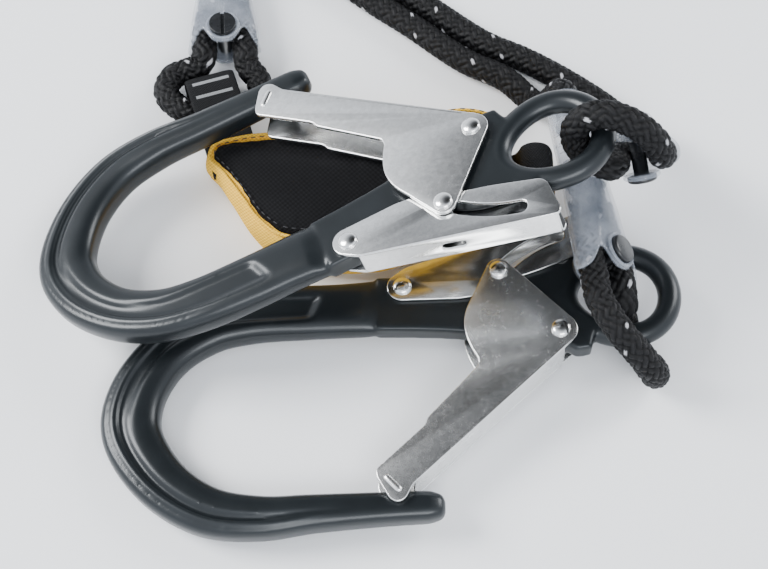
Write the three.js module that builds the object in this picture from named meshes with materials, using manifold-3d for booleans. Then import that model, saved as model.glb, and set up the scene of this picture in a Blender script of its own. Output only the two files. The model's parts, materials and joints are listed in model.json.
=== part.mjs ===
// Double-arm rope lanyard with a sewn energy absorber and two wide-opening scaffold hooks.
// Units are millimetres, +Z is up, and the underside of the lowest piece rests on Z = 0.
import * as THREE from 'three';
import * as BufferGeometryUtils from 'three/addons/utils/BufferGeometryUtils.js';
import Module from 'manifold-3d';

const wasm = await Module();
wasm.setup();

// ---- driving dimensions -------------------------------------------------
const ROPE_D = 11;
const HOOK_PIN = [-23.5, -27.5];
const LEVER_RIVET = [-63, -22.5];
const GATE_OPEN_DEG = 46;
const LEVER_PRESS_DEG = 7;
const NECK_T = 9;
const LEVER_GAP = 4.8;
const LEVER_SHEET = 1.5;
const GATE_GAP = 6.7;
const GATE_SHEET = 1.8;
const PIN_D = 5;
const PIVOT_D = 5.4;
const RIVET_HEAD_D = 7.6;
const RIVET_HEAD_H = 1.8;
const HOLE_CLEAR = 0.3;
const RING_CENTRE = [24.7, -18];
const RING_SEMI = [21, 18.2];
const RING_BAR_D = 9.8;
const RING_BAR_T = 9.1;
const SLEEVE_W = 21.6;
const SLEEVE_T = 17.5;
const SLEEVE_MOUTH_W = 33;
const SLEEVE_WALL = 1.1;
const SLEEVE_FLARE = 56;
const LEG_OFFSET = 9.2;
const SCREW_BACK = 8;
const SCREW_HEAD_D = 12;
const SCREW_HEAD_H = 2.2;
const SCREW_SHANK_D = 3.6;
const NUT_BARREL_D = 6.2;
const LABEL_SPAN = [-64, -42];
const SPLICE_T = 11.6;
const WEB_T = 2.4;

// Where each hook lies: pivot position, then turn, roll and pitch in degrees.
const HOOK_A = { at: [36.4, 32.1, 62.3], turn: 23.2, roll: -11, pitch: 12.7, flip: 1 };
const HOOK_B = { at: [71, -32.6, 15.8], turn: 0.9, roll: 0, pitch: 2.6, flip: -1 };

// Hook body stations: u, v, width in the hook's plane, thickness.
const BODY = [
  [-48.5, 70.6, 5, 5], [-50, 70.6, 9, 9], [-55, 70.5, 12, 11.6], [-75, 70.9, 12.8, 12.2],
  [-100, 71.8, 14.5, 13], [-120, 73, 17, 14], [-140, 69.8, 19.5, 14], [-157.5, 58.5, 21.5, 14],
  [-169.5, 42, 23.5, 14], [-172.3, 31, 24, 14], [-169, 16, 23, 14], [-158, 0.5, 21.5, 14],
  [-142, -9.7, 21.5, 14], [-125, -13.7, 22, 14], [-103, -15, 23, 12.8], [-90, -15.2, 23, 12.2],
  [-80, -15.5, 23.5, 11.6], [-73, -16, 24, 9], [-55, -15.5, 24, 8.8],
];

// ---- where the soft parts lie -------------------------------------------
// Each sleeve: middle of its mouth, middle of its far end, and a direction in the plane of its two legs.
const SLEEVE_P_AT = [[-71.5, 112, 11.6], [-78, 210, 9.8], [1, 0, 0]];
const SLEEVE_A_AT = [[101, 25, 60], [109, 72, 9], [0.959, 0.027, 0.271]];
const SLEEVE_B_AT = [[89, -15, 34.8], [76.5, 68, 36.8], [-0.7, 0, 0.7]];

// Middle of each rope loop, between its two legs. Loop A is given in its hook's own directions.
const LOOP_P = [
  [-61, 105.5, 10], [-56, 98, 9.4], [-55.5, 89, 9.3], [-62, 81.5, 9.3], [-75, 79.3, 9.3],
  [-89, 82.5, 9.3], [-96.5, 91, 9.3], [-94.5, 99.5, 9.4], [-83, 105.5, 10],
];
const LOOP_A_ON_HOOK = [
  [61.5, -37, -12.5], [59, -36.3, -1], [53, -31.2, 7.6], [44.4, -25.2, 11.2],
  [36.9, -21.9, 7.8], [33.8, -21.2, 0], [35.4, -24.8, -8.4], [41.5, -30.6, -14.2],
];
const LOOP_B = [
  [84, -27, 41], [90, -38, 38.5], [99, -46, 31], [107, -49, 20], [109, -46, 9.5],
  [106.5, -39, 5.9], [102, -29, 5.9], [98.5, -21.5, 9.5], [97, -19.5, 17], [96.6, -21.8, 24],
];

// Centre line shared by the two rope arms, far end of sleeve P to the bend before sleeves A and B.
const ARM_LINE = [
  [-79.5, 222], [-84, 262], [-66, 318], [-8, 346], [50, 334], [76, 292],
  [56, 250], [8, 238], [-34, 222], [-38, 186], [-14, 160], [16, 136],
];
const ARM_A_END = [[45, 121], [64, 111], [82, 99], [98, 86]];
const ARM_B_END = [[36, 111], [54, 101], [68, 87]];
const ARM_GAP = 13;
const ARM_LEVEL = ROPE_D / 2 + 1;

// The bag seen from above.
const BAG_OUTLINE = [
  [-44, 6], [-25, 1.5], [-5, 1], [9, 4.5], [36, 14], [48, 19], [53, 25], [54.2, 35], [54.2, 48], [51, 58],
  [42, 63.5], [20, 65.5], [-15, 66], [-45, 66.5], [-62, 67], [-76, 64], [-79, 54], [-71, 42], [-63, 29],
  [-55, 16],
];
const BAG_TOP = 46;
const BAG_SEAM = 0.62;
const BAG_WALL = 1.6;
const SLING_W = 22;
const EYE_STRAP_W = 26;

// The middle of the assembly without its free rope arms, at the height of its lowest point.
const ORIGIN = [-10.427, 47.378, -0.009];

// ---- mesh helpers -------------------------------------------------------
const rad = (d) => (d * Math.PI) / 180;
const V = (a) => new THREE.Vector3(...a);

function toManifold(geometry) {
  const clean = geometry.clone();
  clean.deleteAttribute('normal');
  clean.deleteAttribute('uv');
  const merged = BufferGeometryUtils.mergeVertices(clean, 1e-4);
  return new wasm.Manifold(new wasm.Mesh({
    numProp: 3,
    vertProperties: new Float32Array(merged.attributes.position.array),
    triVerts: new Uint32Array(merged.index.array),
  }));
}

function fromManifold(solid) {
  const mesh = solid.getMesh();
  const geometry = new THREE.BufferGeometry();
  geometry.setAttribute('position', new THREE.BufferAttribute(new Float32Array(mesh.vertProperties), 3));
  geometry.setIndex(new THREE.BufferAttribute(new Uint32Array(mesh.triVerts), 1));
  geometry.computeVertexNormals();
  return geometry;
}

function unite(list) {
  return list.map(toManifold).reduce((sum, next) => sum.add(next));
}

function cut(solid, tools) {
  return tools.map(toManifold).reduce((left, tool) => left.subtract(tool), solid);
}

// Solid from a stack of equal rings of points, closed by flat fans at both ends.
function loft(rings) {
  const n = rings[0].length;
  const positions = [];
  const index = [];
  rings.forEach((ring) => ring.forEach((p) => positions.push(p.x, p.y, p.z)));
  for (let i = 0; i < rings.length - 1; i += 1) {
    for (let j = 0; j < n; j += 1) {
      const a = i * n + j;
      const b = i * n + ((j + 1) % n);
      index.push(a, b, b + n, a, b + n, a + n);
    }
  }
  const last = (rings.length - 1) * n;
  for (let j = 1; j < n - 1; j += 1) {
    index.push(0, j + 1, j);
    index.push(last, last + j, last + j + 1);
  }
  return indexed(positions, index);
}

function indexed(positions, index) {
  const geometry = new THREE.BufferGeometry();
  geometry.setAttribute('position', new THREE.Float32BufferAttribute(positions, 3));
  geometry.setIndex(index);
  return facingOut(geometry);
}

function facingOut(geometry) {
  const p = geometry.attributes.position;
  const idx = geometry.index.array;
  let volume = 0;
  for (let i = 0; i < idx.length; i += 3) {
    const a = new THREE.Vector3().fromBufferAttribute(p, idx[i]);
    const b = new THREE.Vector3().fromBufferAttribute(p, idx[i + 1]);
    const c = new THREE.Vector3().fromBufferAttribute(p, idx[i + 2]);
    volume += a.dot(b.cross(c));
  }
  if (volume < 0) {
    for (let i = 0; i < idx.length; i += 3) {
      [idx[i + 1], idx[i + 2]] = [idx[i + 2], idx[i + 1]];
    }
  }
  geometry.computeVertexNormals();
  return geometry;
}

// Superellipse ring of n points about a centre, spanned by two half-axis vectors.
function oval(centre, halfX, halfY, n, power = 2) {
  return Array.from({ length: n }, (_, k) => {
    const t = (2 * Math.PI * k) / n;
    const c = Math.cos(t);
    const s = Math.sin(t);
    const x = Math.sign(c) * Math.abs(c) ** (2 / power);
    const y = Math.sign(s) * Math.abs(s) ** (2 / power);
    return centre.clone().addScaledVector(halfX, x).addScaledVector(halfY, y);
  });
}

// Round rope along a smooth path of points.
function rope(points, diameter, steps, sides) {
  const circle = new THREE.Shape();
  for (let k = 0; k < sides; k += 1) {
    const t = (2 * Math.PI * k) / sides;
    const x = (diameter / 2) * Math.cos(t);
    const y = (diameter / 2) * Math.sin(t);
    if (k === 0) circle.moveTo(x, y);
    else circle.lineTo(x, y);
  }
  circle.closePath();
  const path = new THREE.CatmullRomCurve3(points, false, 'centripetal');
  return new THREE.ExtrudeGeometry(circle, { steps, extrudePath: path });
}

function plate(outline, holes, thickness, z0) {
  const shape = new THREE.Shape(outline.map(([x, y]) => new THREE.Vector2(x, y)));
  holes.forEach((hole) => {
    shape.holes.push(new THREE.Path(hole.map(([x, y]) => new THREE.Vector2(x, y))));
  });
  const geometry = new THREE.ExtrudeGeometry(shape, { depth: thickness, bevelEnabled: false });
  return geometry.translate(0, 0, z0);
}

function circlePoints(cx, cy, r, n) {
  return Array.from({ length: n }, (_, k) => {
    const t = (2 * Math.PI * k) / n;
    return [cx + r * Math.cos(t), cy + r * Math.sin(t)];
  });
}

function rod(x, y, diameter, length) {
  return plate(circlePoints(x, y, diameter / 2, 20), [], length, -length / 2);
}

// Arc of points about a centre, both angles in degrees.
function arc(cx, cy, r, from, to, n) {
  return Array.from({ length: n }, (_, k) => {
    const t = rad(from + ((to - from) * k) / (n - 1));
    return [cx + r * Math.cos(t), cy + r * Math.sin(t)];
  });
}

function turned(point, centre, degrees) {
  const c = Math.cos(rad(degrees));
  const s = Math.sin(rad(degrees));
  const dx = point[0] - centre[0];
  const dy = point[1] - centre[1];
  return [centre[0] + dx * c - dy * s, centre[1] + dx * s + dy * c];
}

// ---- hook ---------------------------------------------------------------
function bodySweep() {
  const centre = new THREE.CatmullRomCurve3(BODY.map(([u, v]) => new THREE.Vector3(u, v, 0)));
  const size = new THREE.CatmullRomCurve3(BODY.map(([, , w, t]) => new THREE.Vector3(w, t, 0)));
  const steps = 50;
  const rings = [];
  for (let i = 0; i <= steps; i += 1) {
    const t = i / steps;
    const tangent = centre.getTangent(t);
    const side = new THREE.Vector3(-tangent.y, tangent.x, 0);
    const { x: width, y: thick } = size.getPoint(t);
    const halfW = side.multiplyScalar(width / 2);
    rings.push(oval(centre.getPoint(t), halfW, new THREE.Vector3(0, 0, thick / 2), 16, 3));
  }
  return loft(rings);
}

function ringPoint(t) {
  const v = RING_SEMI[1] * Math.sin(t) * (1 + 0.12 * Math.cos(t));
  return new THREE.Vector3(RING_CENTRE[0] + RING_SEMI[0] * Math.cos(t), RING_CENTRE[1] + v, 0);
}

function eyeRing() {
  const n = 36;
  const sides = 12;
  const positions = [];
  const index = [];
  for (let i = 0; i < n; i += 1) {
    const t = (2 * Math.PI * i) / n;
    const tangent = ringPoint(t + 0.01).sub(ringPoint(t - 0.01)).normalize();
    const side = new THREE.Vector3(-tangent.y, tangent.x, 0).multiplyScalar(RING_BAR_D / 2);
    const ring = oval(ringPoint(t), side, new THREE.Vector3(0, 0, RING_BAR_T / 2), sides);
    ring.forEach((p) => positions.push(p.x, p.y, p.z));
    for (let j = 0; j < sides; j += 1) {
      const a = i * sides + j;
      const b = i * sides + ((j + 1) % sides);
      const c = ((i + 1) % n) * sides + ((j + 1) % sides);
      const d = ((i + 1) % n) * sides + j;
      index.push(a, b, c, a, c, d);
    }
  }
  return indexed(positions, index);
}

function neckPlate() {
  const inner = [[-74, -4.2], [-60, -3.6], [-45, -2.6], [-30, -0.6], [-18, 2],
    [-8, 4], [0, 4.9], [3.4, 5.6], [6, 7.2], [12, 6.8]];
  const alongRing = Array.from({ length: 14 }, (_, k) => {
    const p = ringPoint(rad(118 + (124 * k) / 13));
    return [p.x, p.y];
  });
  const outer = [[10, -37.6], [6.8, -35.4], ...arc(0, 0, 32.2, 276, 224, 9), [-29, -22], [-34, -23.6],
    [-43, -26.2], [-56, -28], [-74, -28.2]];
  return plate([...inner, ...alongRing, ...outer].reverse(), [], NECK_T, -NECK_T / 2);
}

function hookBody() {
  const solid = unite([bodySweep(), neckPlate(), eyeRing()]);
  return fromManifold(cut(solid, [
    rod(0, 0, PIVOT_D + 2 * HOLE_CLEAR, 30),
    rod(...LEVER_RIVET, PIN_D + 2 * HOLE_CLEAR, 30),
  ]));
}

// Outline of one gate cheek, from the pin end round the wide leaf to the tip.
function gateOutline() {
  const pinEnd = arc(...HOOK_PIN, 5.2, 200, 322, 9);
  const pivotEnd = arc(0, 0, 6.8, -36, 48, 8);
  const tip = [
    [-60.6, 64], [-63.5, 69.6], [-66.5, 71], [-69.5, 69.6], [-74.6, 60.4], [-74.8, 57.4], [-72.6, 55.4],
  ];
  const innerEdge = [[-55.4, 39.6], [-54.6, 36.8], [-33.4, 14.6], [-33.6, 11.6]];
  const bulge = [[-36.6, 5.5], [-38.5, -2], [-37.6, -9.5], [-33.8, -17.8]];
  return [...pinEnd, ...pivotEnd, ...tip, ...innerEdge, ...bulge];
}

function gate() {
  const holes = [
    circlePoints(0, 0, PIVOT_D / 2 + HOLE_CLEAR, 20),
    circlePoints(...HOOK_PIN, PIN_D / 2 + HOLE_CLEAR, 20),
  ];
  const outer = GATE_GAP + GATE_SHEET;
  const web = plate([[1.55, 7.7], [-60, 62.87], [-61.2, 61.52], [0.35, 6.35]], [], 2 * outer, -outer);
  return fromManifold(unite([
    plate(gateOutline(), holes, GATE_SHEET, GATE_GAP),
    plate(gateOutline(), holes, GATE_SHEET, -outer),
    web,
  ]));
}

// Path of the gate pin seen from the lever while both move together.
function slotPath(n) {
  return Array.from({ length: n }, (_, k) => {
    const f = k / (n - 1);
    const pin = turned(HOOK_PIN, [0, 0], GATE_OPEN_DEG * f);
    return turned(pin, LEVER_RIVET, -LEVER_PRESS_DEG * f);
  });
}

function slotOutline() {
  const path = slotPath(9);
  const r = PIN_D / 2 + HOLE_CLEAR + 0.25;
  const left = [];
  const right = [];
  path.forEach((p, i) => {
    const a = path[Math.max(0, i - 1)];
    const b = path[Math.min(path.length - 1, i + 1)];
    const len = Math.hypot(b[0] - a[0], b[1] - a[1]);
    const nx = (-(b[1] - a[1]) / len) * r;
    const ny = ((b[0] - a[0]) / len) * r;
    left.push([p[0] + nx, p[1] + ny]);
    right.push([p[0] - nx, p[1] - ny]);
  });
  const end = path[path.length - 1];
  const prev = path[path.length - 2];
  const heading = (Math.atan2(end[1] - prev[1], end[0] - prev[0]) * 180) / Math.PI;
  const start = path[0];
  const next = path[1];
  const back = (Math.atan2(start[1] - next[1], start[0] - next[0]) * 180) / Math.PI;
  return [...right, ...arc(...end, r, heading - 70, heading + 70, 6), ...left.reverse(),
    ...arc(...start, r, back - 70, back + 70, 6)];
}

function lockLever() {
  const rivetEnd = arc(...LEVER_RIVET, 6.3, 85, 222, 9);
  const palmEnd = [[-62, -31], [12.6, -54.8], [14.6, -53], [15.2, -39], [13.4, -36.2]];
  const innerEdge = [[9.5, -34.6], [-4, -29], [-12, -26.2], [-15, -25], [-17, -22], [-21, -19.6],
    [-30, -17.6], [-40, -16.2]];
  const outline = [...rivetEnd, ...palmEnd, ...innerEdge].reverse();
  const holes = [circlePoints(...LEVER_RIVET, PIN_D / 2 + HOLE_CLEAR, 20), slotOutline()];
  const outer = LEVER_GAP + LEVER_SHEET;
  const web = plate([[-61.2, -29.9], [-62, -31.2], [12.4, -54.9], [13.2, -53.4]], [], 2 * outer, -outer);
  const hole = new THREE.BoxGeometry(9, 8, 3.2).rotateZ(rad(-17.7)).translate(-27, -41.3, 0);
  return fromManifold(cut(unite([
    plate(outline, holes, LEVER_SHEET, LEVER_GAP),
    plate(outline, holes, LEVER_SHEET, -outer),
    web,
  ]), [hole]));
}

// Shank with a domed head at each end, both heads clear of the outer cheeks.
function rivet(at, diameter, halfGrip) {
  const r = RIVET_HEAD_D / 2;
  const face = halfGrip + 0.15;
  const dome = [[r, face], [r, face + 0.5], [r * 0.7, face + 1.4], [0, face + RIVET_HEAD_H]];
  const top = [[diameter / 2, face], ...dome];
  const bottom = top.map(([x, z]) => [x, -z]).reverse();
  const profile = [...bottom, ...top].map(([x, z]) => new THREE.Vector2(x, z));
  return new THREE.LatheGeometry(profile, 16).rotateX(Math.PI / 2).translate(at[0], at[1], 0);
}

// Flat torsion spring round the gate pivot, one tail on the gate web and one on the body edge.
function gateSpring() {
  const level = (NECK_T / 2 + GATE_GAP) / 2;
  const points = [new THREE.Vector3(-6.6, 8.6, level)];
  for (let k = 0; k <= 15; k += 1) {
    const t = rad(150 - 17 * k);
    const r = 3.7 + 0.05 * k;
    points.push(new THREE.Vector3(r * Math.cos(t), r * Math.sin(t), level));
  }
  points.push(new THREE.Vector3(-13, -3.2, level));
  return rope(points, 0.9, 34, 5);
}

function hookPose(pose) {
  const place = new THREE.Matrix4().makeTranslation(...pose.at);
  place.multiply(new THREE.Matrix4().makeRotationZ(rad(pose.turn)));
  place.multiply(new THREE.Matrix4().makeRotationY(rad(-pose.pitch)));
  place.multiply(new THREE.Matrix4().makeRotationX(rad(pose.roll)));
  if (pose.flip < 0) place.multiply(new THREE.Matrix4().makeRotationX(Math.PI));
  return place;
}

// ---- sleeves, splices and loops -----------------------------------------
// Frame of a sleeve: mouth centre, direction out of the mouth, loop-plane side and screw axis.
function sleeveFrame(mouth, farEnd, planeHint) {
  const out = V(mouth).sub(V(farEnd)).normalize();
  const side = V(planeHint).addScaledVector(out, -V(planeHint).dot(out)).normalize();
  const axis = new THREE.Vector3().crossVectors(out, side);
  return { mouth: V(mouth), out, side, axis, length: V(mouth).distanceTo(V(farEnd)) };
}

function inFrame(f, s, t, w = 0) {
  return f.mouth.clone().addScaledVector(f.out, s).addScaledVector(f.side, t).addScaledVector(f.axis, w);
}

function sleeveHalfWidth(s) {
  const flare = Math.max(0, (s + SLEEVE_FLARE) / SLEEVE_FLARE);
  return SLEEVE_W / 2 + ((SLEEVE_MOUTH_W - SLEEVE_W) / 2) * flare * flare * (3 - 2 * flare);
}

function sleeveShell(f, inset, n) {
  const stations = [-f.length, -SLEEVE_FLARE, -44, -34, -22, -10, 0];
  return stations.map((s) => oval(inFrame(f, s, 0), f.side.clone().multiplyScalar(sleeveHalfWidth(s) - inset),
    f.axis.clone().multiplyScalar(SLEEVE_T / 2 - inset), n, 2.4));
}

function sleeve(f) {
  const outer = toManifold(loft(sleeveShell(f, 0, 22)));
  const innerRings = sleeveShell(f, SLEEVE_WALL, 22);
  innerRings.unshift(innerRings[0].map((p) => p.clone().addScaledVector(f.out, -5)));
  innerRings.push(innerRings[innerRings.length - 1].map((p) => p.clone().addScaledVector(f.out, 5)));
  const bore = screwSolid(f, NUT_BARREL_D / 2 + 0.5, -20, 20);
  return fromManifold(outer.subtract(toManifold(loft(innerRings))).subtract(toManifold(bore)));
}

function screwSolid(f, radius, from, to) {
  const circle = (w) => oval(inFrame(f, -SCREW_BACK, 0, w), f.side.clone().multiplyScalar(radius),
    f.out.clone().multiplyScalar(radius), 18);
  return loft([circle(from), circle(to)]);
}

// Slotted screw: head outside the sleeve and a shank that ends inside the barrel nut.
function sleeveScrew(f) {
  const face = SLEEVE_T / 2 + 0.3;
  const shank = screwSolid(f, SCREW_SHANK_D / 2, -3, face + 0.5);
  const head = unite([screwSolid(f, SCREW_HEAD_D / 2, face, face + SCREW_HEAD_H), shank]);
  const slot = new THREE.BoxGeometry(1.3, SCREW_HEAD_D + 2, 2.4);
  const place = new THREE.Matrix4().makeBasis(f.out, f.side, f.axis);
  slot.applyMatrix4(place.setPosition(inFrame(f, -SCREW_BACK, 0, face + 2.3)));
  return fromManifold(head.subtract(toManifold(slot)));
}

function barrelNut(f) {
  const face = -SLEEVE_T / 2 - 0.3;
  const barrel = screwSolid(f, NUT_BARREL_D / 2, face - 0.5, 6);
  const body = unite([screwSolid(f, SCREW_HEAD_D / 2, face - SCREW_HEAD_H, face), barrel]);
  return fromManifold(body.subtract(toManifold(screwSolid(f, SCREW_SHANK_D / 2 + HOLE_CLEAR, -4.5, 8))));
}

// Sewn part of the rope: two legs pressed together from behind the screw to the far end.
function splice(f) {
  const stations = [[-f.length + 12, 6.8], [-f.length + 20, 8.6], [-40, 8.8], [-34, 8.8]];
  return loft(stations.map(([s, half]) => oval(inFrame(f, s, 0), f.side.clone().multiplyScalar(half),
    f.axis.clone().multiplyScalar(SPLICE_T / 2), 20, 2.6)));
}

// Printed paper wrap that lies inside the clear sleeve, round the splice.
function sleeveLabel(f) {
  const rings = (inset) => LABEL_SPAN.map((s) => oval(inFrame(f, s, 0),
    f.side.clone().multiplyScalar(9.5 - inset), f.axis.clone().multiplyScalar(7.4 - inset), 18, 2.4));
  const inner = rings(0.4);
  inner[0].forEach((p) => p.addScaledVector(f.out, -3));
  inner[1].forEach((p) => p.addScaledVector(f.out, 3));
  return fromManifold(toManifold(loft(rings(0))).subtract(toManifold(loft(inner))));
}

function loopRope(f, middle) {
  const stations = [[-33.5, 5.55], [-26, 5.8], [-16, 7.9], [-6, LEG_OFFSET], [2, LEG_OFFSET]];
  const leg = (sign) => stations.map(([s, offset]) => inFrame(f, s, sign * offset));
  return [...leg(1), ...middle, ...leg(-1).reverse()];
}

// ---- energy absorber ----------------------------------------------------
// Height of the bag's top at a point: full, or as low as the hook lying on it lets it be.
function bagHeight(x, y) {
  const normal = new THREE.Vector3(0, 0, 1).transformDirection(hookPose(HOOK_A));
  const [px, py, pz] = HOOK_A.at;
  const under = pz - (normal.x * (x - px) + normal.y * (y - py) + 12) / normal.z;
  return Math.min(BAG_TOP, under);
}

function bagRing(inset, level) {
  const loop = new THREE.CatmullRomCurve3(BAG_OUTLINE.map(([x, y]) => new THREE.Vector3(x, y, 0)), true);
  const n = 38;
  return Array.from({ length: n }, (_, k) => {
    const p = loop.getPointAt(k / n);
    const tangent = loop.getTangentAt(k / n);
    const x = p.x - tangent.y * inset;
    const y = p.y + tangent.x * inset;
    return new THREE.Vector3(x, y, level(bagHeight(x, y)));
  });
}

function bagTray() {
  const seam = (h) => BAG_SEAM * h;
  const belly = (h) => 0.3 * h;
  const outside = [bagRing(5, () => 0.8), bagRing(1.4, () => 3), bagRing(0, belly), bagRing(0, seam)];
  const floor = [bagRing(3, () => 4.4), bagRing(6, () => 2.6)];
  const inside = [bagRing(BAG_WALL, seam), bagRing(BAG_WALL, belly), ...floor];
  const rings = [...outside, ...inside];
  return cut(toManifold(loft(rings)), [slingSlot(), eyeStrapSlot()]);
}

function bagCover() {
  const seam = (h) => BAG_SEAM * h + 0.4;
  const inside = [bagRing(14, (h) => h - 2.2), bagRing(7.6, (h) => h - 3.4),
    bagRing(3.8, (h) => 0.86 * h - 1),
    bagRing(BAG_WALL, (h) => 0.74 * h), bagRing(BAG_WALL, seam)];
  const outside = [bagRing(0, seam), bagRing(0, (h) => 0.75 * h), bagRing(2, (h) => 0.9 * h),
    bagRing(6.4, (h) => h - 1.4), bagRing(14, (h) => h - 0.4)];
  const rings = [...inside, ...outside];
  return cut(toManifold(loft(rings)), [slingSlot(), eyeStrapSlot()]);
}

function tearPack() {
  const rings = [bagRing(8, () => 4.6), bagRing(5, () => 7), bagRing(4.2, (h) => 0.5 * h),
    bagRing(5.6, (h) => 0.78 * h - 2), bagRing(10, (h) => h - 6)];
  return cut(toManifold(loft(rings)), [slingSlot(), eyeStrapSlot()]);
}

// Rope-side sling: a webbing loop seen from its side, passed round the bight of rope loop P.
function slingFrame() {
  const along = new THREE.Vector3(-0.307, 0.952, 0).normalize();
  const across = new THREE.Vector3(along.y, -along.x, 0);
  return new THREE.Matrix4().makeBasis(along, new THREE.Vector3(0, 0, 1), across).setPosition(-68.5, 68, 0);
}

function slingSlot() {
  const slot = new THREE.BoxGeometry(22, WEB_T * 2 + 0.8, SLING_W + 0.8).translate(-9, 10, 0);
  return slot.applyMatrix4(slingFrame());
}

function webbingSling() {
  const outer = [[-19, 10 - WEB_T], [0.5, 10 - WEB_T], [7, 0.6], [27, 0.4], [31.5, 3], [33, 9],
    [31.5, 15], [27, 17.8], [7.5, 17.6], [0.5, 10 + WEB_T], [-19, 10 + WEB_T]];
  const inner = [[2.2, 10], [8.4, 3], [26.5, 2.8], [29.4, 5], [30.6, 9], [29.4, 13], [26.5, 15.4],
    [8.6, 15.2]];
  return plate(outer, [inner], SLING_W, -SLING_W / 2).applyMatrix4(slingFrame());
}

// Harness-side eye: a short webbing loop standing out of the other end of the bag.
function eyeStrapFrame() {
  return new THREE.Matrix4().makeBasis(new THREE.Vector3(1, 0, 0), new THREE.Vector3(0, 0, 1),
    new THREE.Vector3(0, -1, 0)).setPosition(55.8, 32.6, 33);
}

function eyeStrapSlot() {
  const slot = new THREE.BoxGeometry(17, WEB_T * 2 + 0.8, EYE_STRAP_W + 0.8).translate(-7.8, -5.2, 0);
  return slot.applyMatrix4(eyeStrapFrame());
}

function webbingEye() {
  const outer = [[-15, -7.6], ...arc(7, 0, 7.6, -90, 158, 14), [-0.5, -0.6], [-1.4, -2.8], [-15, -2.8]];
  const inner = [...arc(7, 0, 5.2, -95, 160, 12), [1.4, -1], [1.2, -2.6], [2.6, -4.4]];
  return plate(outer, [inner], EYE_STRAP_W, -EYE_STRAP_W / 2).applyMatrix4(eyeStrapFrame());
}

// ---- rope arms ----------------------------------------------------------
function armPoints(side, end, f, startSide) {
  const line = new THREE.CatmullRomCurve3(ARM_LINE.map(([x, y]) => new THREE.Vector3(x, y, ARM_LEVEL)));
  const n = 26;
  const body = Array.from({ length: n }, (_, k) => {
    const t = k / (n - 1);
    const tangent = line.getTangentAt(t);
    const p = line.getPointAt(t);
    return new THREE.Vector3(p.x - tangent.y * side, p.y + tangent.x * side, p.z);
  });
  const start = inFrame(startSide, -startSide.length - 1.4, -side);
  const tail = end.map(([x, y]) => new THREE.Vector3(x, y, ARM_LEVEL));
  return [start, ...body.slice(1), ...tail,
    inFrame(f, -f.length - 4, 0), inFrame(f, -f.length + 11.6, 0)];
}

// ---- naming, materials and assembly -------------------------------------
const LOOKS = {
  forging: { color: 0x2c3136, metalness: 0.7, roughness: 0.45 },
  steel: { color: 0xc9ccd0, metalness: 1, roughness: 0.22 },
  rope: { color: 0x101012, metalness: 0, roughness: 0.95 },
  clear: { color: 0xdfe4ea, metalness: 0, roughness: 0.25 },
  black: { color: 0x111114, metalness: 0, roughness: 0.5 },
  fabric: { color: 0x16161a, metalness: 0, roughness: 0.95 },
  yellow: { color: 0xf0a818, metalness: 0, roughness: 0.85 },
  paper: { color: 0xd4d6da, metalness: 0, roughness: 0.8 },
};

const group = new THREE.Group();
group.name = 'shock_absorbing_lanyard';

function add(name, look, geometry) {
  const mesh = new THREE.Mesh(geometry, new THREE.MeshStandardMaterial(LOOKS[look]));
  mesh.name = name;
  group.add(mesh);
}

function addHook(tag, pose) {
  const place = hookPose(pose);
  const put = (name, look, geometry) => add(`${name}_${tag}`, look, geometry.applyMatrix4(place));
  put('hook_body', 'forging', hookBody());
  put('gate', 'steel', gate());
  put('gate_pivot_rivet', 'steel', rivet([0, 0], PIVOT_D, GATE_GAP + GATE_SHEET));
  put('gate_pin', 'steel', rivet(HOOK_PIN, PIN_D, GATE_GAP + GATE_SHEET));
  put('lock_lever', 'steel', lockLever());
  put('lever_rivet', 'steel', rivet(LEVER_RIVET, PIN_D, LEVER_GAP + LEVER_SHEET));
  put('gate_spring', 'steel', gateSpring());
}

function addSleeve(tag, f, middle) {
  add(`sleeve_${tag}`, 'clear', sleeve(f));
  add(`rope_loop_${tag}`, 'rope', rope(loopRope(f, middle), ROPE_D, 34, 10));
  add(`sewn_splice_${tag}`, 'rope', splice(f));
  add(`sleeve_screw_${tag}`, 'black', sleeveScrew(f));
  add(`barrel_nut_${tag}`, 'black', barrelNut(f));
  add(`sleeve_label_${tag}`, 'paper', sleeveLabel(f));
}

addHook('a', HOOK_A);
addHook('b', HOOK_B);
const SLEEVE_P = sleeveFrame(...SLEEVE_P_AT);
const SLEEVE_A = sleeveFrame(...SLEEVE_A_AT);
const SLEEVE_B = sleeveFrame(...SLEEVE_B_AT);
addSleeve('p', SLEEVE_P, LOOP_P.map(V));
addSleeve('a', SLEEVE_A, LOOP_A_ON_HOOK.map((p) => V(p).applyMatrix4(hookPose(HOOK_A))));
addSleeve('b', SLEEVE_B, LOOP_B.map(V));
add('rope_arm_a', 'rope', rope(armPoints(ARM_GAP / 2, ARM_A_END, SLEEVE_A, SLEEVE_P), ROPE_D, 64, 8));
add('rope_arm_b', 'rope', rope(armPoints(-ARM_GAP / 2, ARM_B_END, SLEEVE_B, SLEEVE_P), ROPE_D, 64, 8));
add('absorber_tray', 'yellow', fromManifold(bagTray()));
add('absorber_cover', 'fabric', fromManifold(bagCover()));
add('tear_webbing_pack', 'fabric', fromManifold(tearPack()));
add('webbing_sling', 'fabric', webbingSling());
add('webbing_eye', 'fabric', webbingEye());

group.children.forEach((mesh) => mesh.geometry.translate(-ORIGIN[0], -ORIGIN[1], -ORIGIN[2]));

export default group;
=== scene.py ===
"""Looks of a double-arm rope lanyard: scaffold hooks, braided rope, clear sleeves and a bagged absorber."""
import json
import math

import bpy
import numpy as np
from mathutils import Matrix, Quaternion, Vector, noise


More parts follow.
